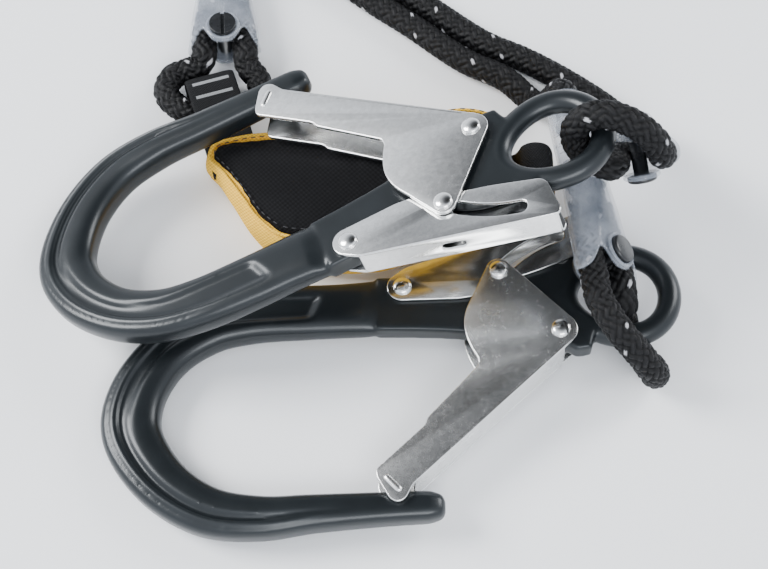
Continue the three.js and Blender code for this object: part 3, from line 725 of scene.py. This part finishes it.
def gates(material):
    """Folded sheet gates: two cheeks joined by a web, with a ribbed ear at the tip."""
    outer = GATE_GAP + GATE_SHEET
    web_line = np.array([1.55, 7.7]), np.array([-60.0, 62.87])
    across = np.array([-0.668, -0.743])
    for tag in "ab":
        place = hook_place(tag)
        parts = []
        for sign in (1, -1):
            middle = sign * (GATE_GAP + GATE_SHEET / 2)
            parts.append(plate("cheek", gate_outline(), [], GATE_SHEET, middle, 0.45, place))
            parts.append(pressed_rib("rib", (-68.3, 63.2), across, outer, sign, place))
        inward = (-0.668, -0.743)
        parts.append(web_plate("web", *web_line, inward, 2 * outer, GATE_SHEET, [], place))
        for share in (0.62, 0.8):
            at = web_line[0] + (web_line[1] - web_line[0]) * share
            basis = directions((across[1], -across[0], 0), (0, 0, 1), (*-across, 0), (*(at * MM), 0))
            ring = [(4.0, -0.2), (4.2, 0.12), (4.6, 0.12), (4.8, -0.2)]
            parts.append(lathe("punch", ring, place @ basis))
        folded = joined(f"folded_gate_{tag}", parts)
        finish_piece(folded, f"gate_{tag}", material, "bright_steel", f"gate_{tag}")


def slot_outline():
    """Curved slot of the lever: the path of the gate pin while gate and lever turn together."""
    path = []
    for f in np.linspace(0, 1, 22):
        pin = turned(HOOK_PIN, (0, 0), GATE_OPEN_DEG * f)
        path.append(turned(pin, LEVER_RIVET, -LEVER_PRESS_DEG * f))
    path = np.array(path)
    radius = PIN_D / 2 + 0.45
    normal = plane_normals(path)
    last = math.degrees(math.atan2(-normal[-1, 0], normal[-1, 1]))
    first = math.degrees(math.atan2(normal[0, 0], -normal[0, 1]))
    right = [tuple(p) for p in path - normal * radius]
    left = [tuple(p) for p in path[::-1] + normal[::-1] * radius]
    far_end = arc(*path[-1], radius, last - 75, last + 75, 12)
    near_end = arc(*path[0], radius, first - 75, first + 75, 12)
    return [*right, *far_end, *left, *near_end]


def levers(material):
    """Folded lock levers: slotted cheeks joined by a palm web with a small oblong hole."""
    outer = LEVER_GAP + LEVER_SHEET
    rivet_end = arc(*LEVER_RIVET, 6.3, 85, 222, 20)
    palm = [(-62, -31), (12.6, -54.8), (14.6, -53), (15.2, -39), (13.4, -36.2)]
    inner = catmull([(9.5, -34.6), (-4, -29), (-12, -26.2), (-15, -25), (-17, -22), (-21, -19.6),
                     (-30, -17.6), (-40, -16.2)], 5)
    outline = rounded([*rivet_end, *palm, *map(tuple, inner)], 1.8)
    hole = rounded([(32.2, -1.6), (41.2, -1.6), (41.2, 1.6), (32.2, 1.6)], 1.5)
    for tag in "ab":
        place = hook_place(tag)
        parts = []
        for sign in (1, -1):
            middle = sign * (LEVER_GAP + LEVER_SHEET / 2)
            parts.append(plate("cheek", outline, [slot_outline()], LEVER_SHEET, middle, 0.4, place))
        ends = (-62, -31.2), (12.4, -54.9)
        parts.append(web_plate("web", *ends, (0.3, 0.95), 2 * outer, LEVER_SHEET, [hole], place))
        folded = joined(f"folded_lever_{tag}", parts)
        finish_piece(folded, f"lever_{tag}", material, "bright_steel", f"lock_lever_{tag}")


def rivets(material):
    """Domed rivets with a small flat rim at each end of a plain shank."""
    half_gate = GATE_GAP + GATE_SHEET
    half_lever = LEVER_GAP + LEVER_SHEET
    r = RIVET_HEAD_D / 2
    for tag in "ab":
        wanted = [("gate_pivot_rivet", (0, 0), half_gate, f"hook_{tag}"),
                  ("gate_pin", HOOK_PIN, half_gate, f"gate_{tag}"),
                  ("lever_rivet", LEVER_RIVET, half_lever, f"hook_{tag}")]
        for name, at, half, body in wanted:
            face = half + 0.12
            rim, rise = face + 0.45, RIVET_HEAD_H - 0.45
            dome = [(r * math.cos(a), rim + rise * math.sin(a)) for a in np.linspace(0, 1.55, 9)]
            upper = [(PIN_D / 2, face), (r - 0.1, face), *dome]
            profile = [(x, -z) for x, z in reversed(upper)] + upper
            place = hook_place(tag) @ Matrix.Translation((at[0] * MM, at[1] * MM, 0))
            piece = lathe(f"domed_{name}_{tag}", profile, place)
            finish_piece(piece, body, material, "bright_steel", f"{name}_{tag}")


def springs(material):
    """Coil of round wire about the gate pivot, with two straight tails."""
    level = (NECK_T / 2 + GATE_GAP) / 2
    turns = [(-6.6, 8.6, level)]
    for k in range(16):
        t, r = math.radians(150 - 17 * k), 3.7 + 0.05 * k
        turns.append((r * math.cos(t), r * math.sin(t), level))
    turns.append((-13, -3.2, level))
    line = catmull(turns, 5)
    for tag in "ab":
        piece = tube_piece(f"wire_spring_{tag}", line, 0.9, 14, hook_place(tag))
        finish_piece(piece, f"gate_{tag}", material, "bright_steel", f"gate_spring_{tag}")


def tube_piece(name, line, diameter, sides, place=None):
    _, side, up = carried_frames(line)
    angles = np.linspace(0, 2 * np.pi, sides, endpoint=False)
    spokes = side[:, None] * np.cos(angles)[None, :, None] + up[:, None] * np.sin(angles)[None, :, None]
    verts = (line[:, None] + spokes * diameter / 2).reshape(-1, 3)
    return make_mesh(name, verts, tube_faces(len(line), sides), place)


# ---- rope ---------------------------------------------------------------------------
def braid(name, line, step=0.55, sides=66, diameter=ROPE_D):
    """Braided rope: two families of strands cross in a two-over, two-under pattern of raised floats."""
    line = resample(line, step)
    _, side, up = carried_frames(line)
    angle = np.linspace(0, 2 * np.pi, sides, endpoint=False)[None, :]
    along = (np.arange(len(line)) * length_of(line) / (len(line) - 1))[:, None]
    a = angle * CARRIERS / (2 * np.pi) + along / CELL
    b = angle * CARRIERS / (2 * np.pi) - along / CELL
    i, j = np.floor(a), np.floor(b)
    first = np.mod(i - j, 4) < 2
    across = np.where(first, b - j, a - i)
    place_on_float = np.where(first, np.mod(a - j, 2) / 2, np.mod(b - i, 2) / 2)
    dome = np.sqrt(np.clip(1 - (2 * across - 1) ** 2, 0, 1))
    taper = np.clip(1 - (2 * place_on_float - 1) ** 4, 0, 1) ** 0.5
    height = dome * (0.35 + 0.65 * taper)
    on_top = (np.abs(across - 0.5) < 0.24) & (np.abs(place_on_float - 0.5) < 0.2)
    fleck = first & (np.mod(j, CARRIERS) == TRACER_CARRIER) & on_top
    radius = diameter / 2 + BRAID_SWELL - BRAID_DEPTH * (1 - height)
    spokes = side[:, None] * (radius * np.cos(angle))[..., None]
    spokes = spokes + up[:, None] * (radius * np.sin(angle))[..., None]
    verts = (line[:, None] + spokes).reshape(-1, 3)
    obj = make_mesh(name, verts, tube_faces(len(line), sides))
    # braid_height also sets the material's painted shade, darker where the braid is low.
    for key, value in (("braid_height", height), ("tracer", fleck * 1.0)):
        attribute = obj.data.attributes.new(key, "FLOAT", "POINT")
        attribute.data.foreach_set("value", value.astype(np.float32).ravel())
    return obj, line


class SleeveFrame:
    """Directions of a sleeve: out of its mouth, across its two rope legs, and along its screw."""

    def __init__(self, mouth, far_end, hint):
        self.mouth = np.array(mouth, float)
        self.length = float(np.linalg.norm(self.mouth - np.array(far_end, float)))
        self.out = (self.mouth - np.array(far_end, float)) / self.length
        hint = np.array(hint, float)
        self.side = hint - self.out * hint.dot(self.out)
        self.side /= np.linalg.norm(self.side)
        self.axis = np.cross(self.out, self.side)

    def at(self, s, t, w=0.0):
        return self.mouth + self.out * s + self.side * t + self.axis * w

    def screw_place(self):
        """Matrix with z along the screw and its origin on the sleeve's middle."""
        return directions(self.out, self.side, self.axis, (self.at(-SCREW_BACK, 0) - ORIGIN) * MM)


def loop_line(f, middle):
    stations = [(-33.5, 5.55), (-26, 5.8), (-16, 7.9), (-6, LEG_OFFSET), (2, LEG_OFFSET)]
    first = [f.at(s, offset) for s, offset in stations]
    second = [f.at(s, -offset) for s, offset in reversed(stations)]
    return catmull([*first, *[np.array(p, float) for p in middle], *second], 16)


def sleeve_half_width(s):
    flare = np.maximum(0, (np.asarray(s, float) + 56) / 56)
    return SLEEVE_W / 2 + (SLEEVE_MOUTH_W - SLEEVE_W) / 2 * flare * flare * (3 - 2 * flare)


def sleeve_piece(tag, f, material):
    """Oval clear tube, flared at the mouth and scalloped there round the two rope legs."""
    sides, rings = 72, 46
    t = np.linspace(0, 2 * np.pi, sides, endpoint=False)
    x = np.sign(np.cos(t)) * np.abs(np.cos(t)) ** (2 / 2.4)
    w = np.sign(np.sin(t)) * np.abs(np.sin(t)) ** (2 / 2.4)
    scallop = np.exp(-((np.abs(x) - 0.62) / 0.24) ** 2) * np.abs(np.sin(t)) ** 0.5 * 9.5
    verts = []
    for k in range(rings):
        s = -f.length + (f.length - scallop) * (k / (rings - 1)) ** 0.8
        half = sleeve_half_width(s)
        ripple = 0.25 * np.sin(s * 0.35 + 3 * t) * smoothstep(-60, -30, s)
        lip = 0.4 * smoothstep(-4, 0, s + scallop)
        for col in range(sides):
            reach = half[col] + 0.2 * ripple[col] + lip[col] - 0.6
            depth = SLEEVE_T / 2 + 0.4 * ripple[col] - 0.5
            verts.append(f.at(s[col], x[col] * reach, w[col] * depth))
    obj = make_mesh(f"clear_sleeve_{tag}", verts, tube_faces(rings, sides, caps=False))
    applied(obj, ("SOLIDIFY", {"thickness": SLEEVE_WALL * MM, "offset": -1}))
    return finish_piece(obj, "harness_side", material, "clear_plastic", f"sleeve_{tag}")


def torus(name, radius, bar, level, place, count=64, sides=16):
    verts = []
    for i in range(count):
        a = 2 * math.pi * i / count
        for j in range(sides):
            b = 2 * math.pi * j / sides
            r = radius + bar * math.cos(b)
            verts.append((r * math.cos(a), r * math.sin(a), level + bar * math.sin(b)))
    return make_mesh(name, verts, tube_faces(count, sides, closed=True), place)


def screws(tag, f, black, clear):
    """Slotted screw head in a moulded collar, and the plain nut head on the other side."""
    place = f.screw_place()
    face = SLEEVE_T / 2 + 0.3
    radius = SCREW_HEAD_D / 2
    gap = math.degrees(math.asin(0.75 / radius))
    halves = [arc(0, 0, radius, gap, 180 - gap, 30), arc(0, 0, radius, 180 + gap, 360 - gap, 30)]
    middle = face + 0.7 + (SCREW_HEAD_H - 0.7) / 2
    parts = [plate("half", half, [], SCREW_HEAD_H - 0.7, middle, 0.3, place) for half in halves]
    parts.append(plate("base", disc_outline(0, 0, radius, 60), [], 0.9, face + 0.45, 0.2, place))
    parts.append(plate("shank", disc_outline(0, 0, 1.8, 24), [], face + 3, (face - 3) / 2, 0.1, place))
    screw = joined(f"slotted_screw_{tag}", parts)
    finish_piece(screw, "harness_side", black, "black_plastic", f"sleeve_screw_{tag}")
    low = -face - SCREW_HEAD_H
    nut_head = [(0, low), (radius - 1, low), (radius - 0.2, low + 0.4), (radius, low + 1), (radius, -face),
                (3.1, -face), (3.1, 5.5), (2.1, 5.5), (2.1, -4), (0, -4)]
    nut = lathe(f"barrel_nut_head_{tag}", nut_head, place)
    finish_piece(nut, "harness_side", black, "black_plastic", f"barrel_nut_{tag}")
    for sign, side in ((1, "front"), (-1, "back")):
        level = sign * (SLEEVE_T / 2 + 0.15)
        collar = torus(f"screw_collar_{tag}_{side}", radius + 0.95, 0.75, level, place)
        finish_piece(collar, "harness_side", clear, "clear_plastic")


def splice_piece(tag, f, material):
    """The two rope legs sewn side by side inside the sleeve, pressed a little flat."""
    parts = []
    for sign in (1, -1):
        stations = (-f.length + 12.6, 2.0), (-f.length + 20, 3.1), (-50, 3.3), (-34.4, 3.4)
        points = [f.at(s, sign * offset) for s, offset in stations]
        legs, _ = braid("leg", catmull(points, 10), step=0.8, sides=44, diameter=10.2)
        parts.append(legs)
    sewn = joined(f"sewn_legs_{tag}", parts)
    return finish_piece(sewn, "harness_side", material, "black_rope", f"sewn_splice_{tag}")


def arm_route(tag, frames):
    """Centre line of one rope arm, from the far end of sleeve P into its own sleeve."""
    offset = ARM_GAP / 2 if tag == "a" else -ARM_GAP / 2
    line = resample(catmull([(x, y, ARM_LEVEL) for x, y in ARM_LINE], 60), 0.2)
    picked = np.linspace(0, len(line) - 1, 26).round().astype(int)
    shifted = line.copy()
    shifted[:, :2] += offset * plane_normals(line[:, :2])
    start, own = frames["p"], frames[tag]
    tail = [(x, y, ARM_LEVEL) for x, y in ARM_ENDS[tag]]
    points = [start.at(-start.length - 1.4, -offset), *shifted[picked[1:]], *tail,
              own.at(-own.length - 4, 0), own.at(-own.length + 11.6, 0)]
    return catmull(points, 12)


def rope_arms(frames, material):
    """The two free rope arms, each at its real length."""
    for tag in "ab":
        obj, line = braid(f"rope_arm_{tag}_braid", arm_route(tag, frames), step=0.6, sides=60)
        finish_piece(obj, "harness_side", material, "black_rope", f"rope_arm_{tag}")


# ---- webbing and bag ------------------------------------------------------------------
def strap(name, line, width, thickness, place):
    """Flat webbing swept along a line in its own x-y plane, its width along z."""
    line = resample(catmull(line, 12), 0.5)
    normal = plane_normals(line)
    across = np.linspace(-1, 1, 23)
    top = [(z * width / 2, thickness / 2 * (1 - abs(z) ** 12 * 0.7)) for z in across]
    section = top + [(z, -h) for z, h in reversed(top)]
    verts = []
    for point, n in zip(line, normal):
        for z, h in section:
            verts.append((point[0] + n[0] * h, point[1] + n[1] * h, z))
    obj = make_mesh(name, verts, tube_faces(len(line), len(section)), place)
    layer = obj.data.uv_layers.new(name="strap")
    spacing = length_of(line) / (len(line) - 1)
    for loop in obj.data.loops:
        ring, k = divmod(loop.vertex_index, len(section))
        layer.data[loop.index].uv = (ring * spacing / UV_MM, section[k][0] / UV_MM)
    return obj


def local_place(x_axis, y_axis, z_axis, origin):
    return directions(x_axis, y_axis, z_axis, (np.array(origin, float) - ORIGIN) * MM)


def webbing_sling(material):
    """Webbing passed round the bight of rope loop P, both ends sewn into the bag."""
    along = np.array([-0.307, 0.952, 0])
    along /= np.linalg.norm(along)
    across = np.array([along[1], -along[0], 0])
    line = [(-19, 8.9), (-8, 8.9), (0.5, 8.7), (7.2, 2.0), (16, 1.7), (26.8, 1.7), (30.2, 4.2), (31.7, 9),
            (30.2, 13.8), (26.8, 16.5), (16, 16.4), (7.6, 16.2), (0.5, 11.3), (-8, 11.1), (-19, 11.1)]
    place = local_place(along, (0, 0, 1), across, (-68.5, 68, 0))
    obj = strap("ribbed_sling", line, SLING_W, STRAP_T, place)
    finish_piece(obj, "harness_side", material, "black_webbing", "webbing_sling")


def webbing_eye(material):
    """Short sewn webbing eye that stands out of the other end of the bag."""
    line = [(-15, -6.4), (-4, -6.4), *arc(7, 0, 6.4, -90, 150, 11), (0.6, 0.2), (-1.6, -3.4), (-8, -4.1),
            (-15, -4.1)]
    place = local_place((1, 0, 0), (0, 0, 1), (0, -1, 0), (55.8, 32.6, 33))
    obj = strap("stitched_eye", line, EYE_STRAP_W, STRAP_T, place)
    finish_piece(obj, "harness_side", material, "black_webbing", "webbing_eye")


def bag_height(x, y, place):
    """Full height of the bag at a point, or as low as the hook lying on it lets it be."""
    normal = place.to_3x3().col[2]
    pivot = np.array(place.translation) / MM + ORIGIN
    under = pivot[2] - (normal.x * (x - pivot[0]) + normal.y * (y - pivot[1]) + 12) / normal.z
    return min(BAG_TOP, under)


def bag_ring(inset, share, drop, place, count=150):
    """Ring of points round the bag: inset from its outline, at a share of its height less a drop."""
    loop = resample(np.vstack([catmull(BAG_OUTLINE, 20, closed=True), BAG_OUTLINE[:1]]), 0.3)
    picked = np.linspace(0, len(loop) - 1, count, endpoint=False).round().astype(int)
    points = loop[picked] + inset * plane_normals(loop)[picked]
    return [(x, y, share * bag_height(x, y, place) - drop) for x, y in points]


def wrinkled(obj, amount, seed):
    """Soft folds and dents: moves each point along its normal, never outwards past the CAD shell."""
    offset = Vector((seed, 0.7 * seed, 0.3 * seed))
    for vertex in obj.data.vertices:
        where = vertex.co * 1000
        fold = noise.noise(Vector((where.x * 0.045, where.y * 0.075, where.z * 0.06)) + offset)
        ripple = noise.noise(Vector((where.x * 0.03, where.y * 0.11, where.z * 0.02)) + offset * 2)
        crease = 1 - abs(ripple) * 3
        push = amount * (0.5 * fold - 0.5) - amount * 0.8 * max(0, crease - 0.55)
        vertex.co += vertex.normal * push * MM
    obj.data.update()


def capped_mesh(name, rings, bottom, top):
    """Closed shell through equal rings, its ends filled by shrinking rings so they can crown."""
    count = len(rings[0])
    verts = [p for ring in rings for p in ring]
    faces = tube_faces(len(rings), count, caps=False)
    for ring_index, wanted in ((0, bottom), (len(rings) - 1, top)):
        base = np.array(rings[ring_index])
        middle = base.mean(axis=0)
        last = list(range(ring_index * count, (ring_index + 1) * count))
        for share in (0.85, 0.68, 0.5, 0.33, 0.17, 0.05):
            start = len(verts)
            crown = wanted * (1 - share * share)
            verts.extend(middle + (base - middle) * share + np.array([0, 0, crown]))
            new = list(range(start, start + count))
            for j in range(count):
                k = (j + 1) % count
                quad = (last[j], last[k], new[k], new[j])
                faces.append(quad if ring_index else quad[::-1])
            last = new
        faces.append(tuple(last) if ring_index else tuple(last[::-1]))
    return make_mesh(name, verts, faces)


def padded_shell(obj, outward, inward):
    """Blows the shell up a little as cloth under pressure, with how far each point may move capped."""
    voxel = 1.7
    applied(obj, ("REMESH", {"mode": "VOXEL", "voxel_size": voxel * MM}))
    start = np.array([v.co[:] for v in obj.data.vertices])
    normals = np.array([v.normal[:] for v in obj.data.vertices])
    cloth = obj.modifiers.new("Cloth", "CLOTH")
    cloth.settings.quality = 4
    cloth.settings.mass = 0.25
    cloth.settings.tension_stiffness = 12
    cloth.settings.compression_stiffness = 12
    cloth.settings.bending_stiffness = 0.4
    cloth.settings.use_pressure = True
    cloth.settings.uniform_pressure_force = 4
    cloth.settings.effector_weights.gravity = 0
    cloth.point_cache.frame_end = CLOTH_FRAMES
    for number in range(1, CLOTH_FRAMES + 1):
        bpy.context.scene.frame_set(number)
    evaluated = obj.evaluated_get(bpy.context.evaluated_depsgraph_get())
    moved = np.array([v.co[:] for v in evaluated.data.vertices]) - start
    obj.modifiers.clear()
    bpy.context.scene.frame_set(1)
    along = np.clip((moved * normals).sum(axis=1), -inward * MM, outward * MM)
    side = moved - normals * (moved * normals).sum(axis=1)[:, None]
    reach = np.maximum(np.linalg.norm(side, axis=1)[:, None], 1e-9)
    side = side * np.minimum(1, outward * MM / reach)
    settled = start + normals * along[:, None] + side
    obj.data.vertices.foreach_set("co", settled.ravel())
    obj.data.update()
    applied(obj, ("SUBSURF", {"levels": 1, "render_levels": 1}))


def bag_shell(name, rings, crown, place):
    """Closed shell through rings of the bag, its top crowned in the middle."""
    return capped_mesh(name, [bag_ring(*ring, place) for ring in rings], 0.01, crown)


def bag(black, yellow, stitch):
    """Soft bag of the absorber: black crowned cover inside a yellow wall, with a bound and stitched seam."""
    place = hook_place("a")
    cover = bag_shell("woven_cover", COVER_RINGS, 0.3, place)
    wrinkled(cover, 1.5, 3.1)
    padded_shell(cover, 1.0, 0.8)
    tray = bag_shell("yellow_sides", TRAY_RINGS, 0.01, place)
    wrinkled(tray, 0.9, 8.4)
    padded_shell(tray, 0.4, 0.8)
    lift_to_table(tray)
    finish_piece(cover, "harness_side", black, "black_fabric", "absorber_cover")
    finish_piece(tray, "harness_side", yellow, "yellow_fabric", "absorber_tray")
    seam = np.array(bag_ring(3.9, 0.885, 0.1, place, count=420))
    binding = tube_piece("bag_binding", np.vstack([seam, seam[:1]]), 1.5, 12)
    finish_piece(binding, "harness_side", yellow, "yellow_fabric")
    stitches = []
    line = resample(np.array(bag_ring(6.3, 0.985, 0.3, place, count=420)), 1.0)
    for start in range(0, len(line) - 3, 4):
        stitches.append(tube_piece("stitch", resample(line[start:start + 3], 0.5), 0.5, 6))
    finish_piece(joined("bag_stitches", stitches), "harness_side", stitch, "black_fabric")


def lift_to_table(obj):
    """Keeps every point of a soft piece at or above the table."""
    for vertex in obj.data.vertices:
        vertex.co.z = max(vertex.co.z, TABLE_GAP * MM)


# ---- camera, light and floor ------------------------------------------------------------
def camera():
    data = bpy.data.cameras.new("view")
    data.lens = 74.2
    data.sensor_width = 36
    data.clip_start = 0.01
    data.clip_end = 50
    obj = bpy.data.objects.new("view", data)
    obj.location = (0.010427, -0.36103, 0.58991)
    obj.rotation_euler = (math.radians(28), 0, 0)
    bpy.context.scene.collection.objects.link(obj)
    bpy.context.scene.camera = obj


def area_light(name, location, target, size, power, colour=(1, 1, 1)):
    data = bpy.data.lights.new(name, "AREA")
    data.shape = "RECTANGLE"
    data.size, data.size_y = size
    data.energy = power
    data.color = colour
    obj = bpy.data.objects.new(name, data)
    obj.location = location
    obj.rotation_euler = (Vector(target) - Vector(location)).to_track_quat("-Z", "Y").to_euler()
    bpy.context.scene.collection.objects.link(obj)


def studio():
    """Pale table under soft light, with a dark gap in the surroundings that polished plates reflect."""
    world = bpy.data.worlds.new("studio")
    world.use_nodes = True
    bpy.context.scene.world = world
    tree = world.node_tree
    coords = tree.nodes.new("ShaderNodeTexCoord")
    towards = tree.nodes.new("ShaderNodeVectorMath")
    towards.operation = "DOT_PRODUCT"
    towards.inputs[1].default_value = Vector((0.05, 0.5, 0.86)).normalized()
    tree.links.new(coords.outputs["Generated"], towards.inputs[0])
    shade = ramp(tree, towards.outputs["Value"], [(0.0, (0.84, 0.89, 0.97)), (0.72, (0.74, 0.78, 0.84)),
                                                  (0.93, (0.07, 0.074, 0.08)), (1.0, (0.012, 0.012, 0.012))])
    background = tree.nodes["Background"]
    tree.links.new(shade, background.inputs["Color"])
    background.inputs["Strength"].default_value = 1.7
    area_light("key", (-1.35, 0.25, 1.15), (0, 0, 0), (0.8, 0.8), 46)
    area_light("fill", (0.3, -1.2, 1.3), (0, 0, 0), (1.0, 0.6), 18, (0.96, 0.98, 1))
    area_light("rim", (1.2, 0.6, 0.9), (0, 0, 0), (0.5, 0.9), 14)
    corners = [(x * TABLE_HALF, y * TABLE_HALF, 0) for x, y in ((-1, -1), (1, -1), (1, 1), (-1, 1))]
    floor = make_mesh("table_top", corners, [(0, 1, 2, 3)], Matrix.Identity(4))
    material, tree, shader = new_material("table")
    stops = [(0.3, (0.86, 0.875, 0.895)), (0.7, (0.89, 0.90, 0.915))]
    tone = ramp(tree, noise_node(tree, object_coords(tree), 3), stops)
    tree.links.new(tone, shader.inputs["Base Color"])
    preset(shader, Roughness=0.6)
    floor.data.materials.append(material)


def main():
    camera()
    frames = {tag: SleeveFrame(*ends) for tag, ends in SLEEVES.items()}
    rope = braid_material()
    rope_arms(frames, rope)
    forging = anodised()
    sheet = steel("gate_steel", (0.9, 0.9, 0.89), 0.13, 0.38, 0.08)
    polished = steel("lever_steel", (0.92, 0.92, 0.91), 0.09, 0.24, 0.15)
    hook_bodies(forging)
    gates(sheet)
    levers(polished)
    rivets(polished)
    springs(sheet)
    clear, black = clear_plastic(), black_plastic()
    on_hook = [np.array(hook_place("a") @ (Vector(p) * MM)) / MM + ORIGIN for p in LOOP_A_ON_HOOK]
    loops = {"p": LOOP_P, "a": on_hook, "b": LOOP_B}
    label = label_material()
    for tag, f in frames.items():
        loop, _ = braid(f"rope_loop_{tag}_braid", loop_line(f, loops[tag]))
        finish_piece(loop, "harness_side", rope, "black_rope", f"rope_loop_{tag}")
        sleeve_piece(tag, f, clear)
        splice_piece(tag, f, rope)
        screws(tag, f, black, clear)
        wrap = frame["nodes"][f"sleeve_label_{tag}"]
        wrap.data.materials.clear()
        wrap.data.materials.append(label)
    webbing_sling(webbing_material("sling_webbing", [(68.8, 70.3), (75.4, 76.9)], None))
    webbing_eye(webbing_material("eye_webbing", [], (0.0, 34.0)))
    cover = woven("cover_weave", (0.0003, 0.0003, 0.0004), (0.006, 0.006, 0.007), 0.0011)
    yellow = woven("yellow_weave", (0.55, 0.27, 0.02), (0.86, 0.52, 0.06), 0.0009)
    thread = woven("thread", (0.02, 0.02, 0.02), (0.06, 0.06, 0.065), 0.0004)
    bag(cover, yellow, thread)
    tear = frame["nodes"]["tear_webbing_pack"]
    tear.data.materials.clear()
    tear.data.materials.append(cover)
    studio()


main()
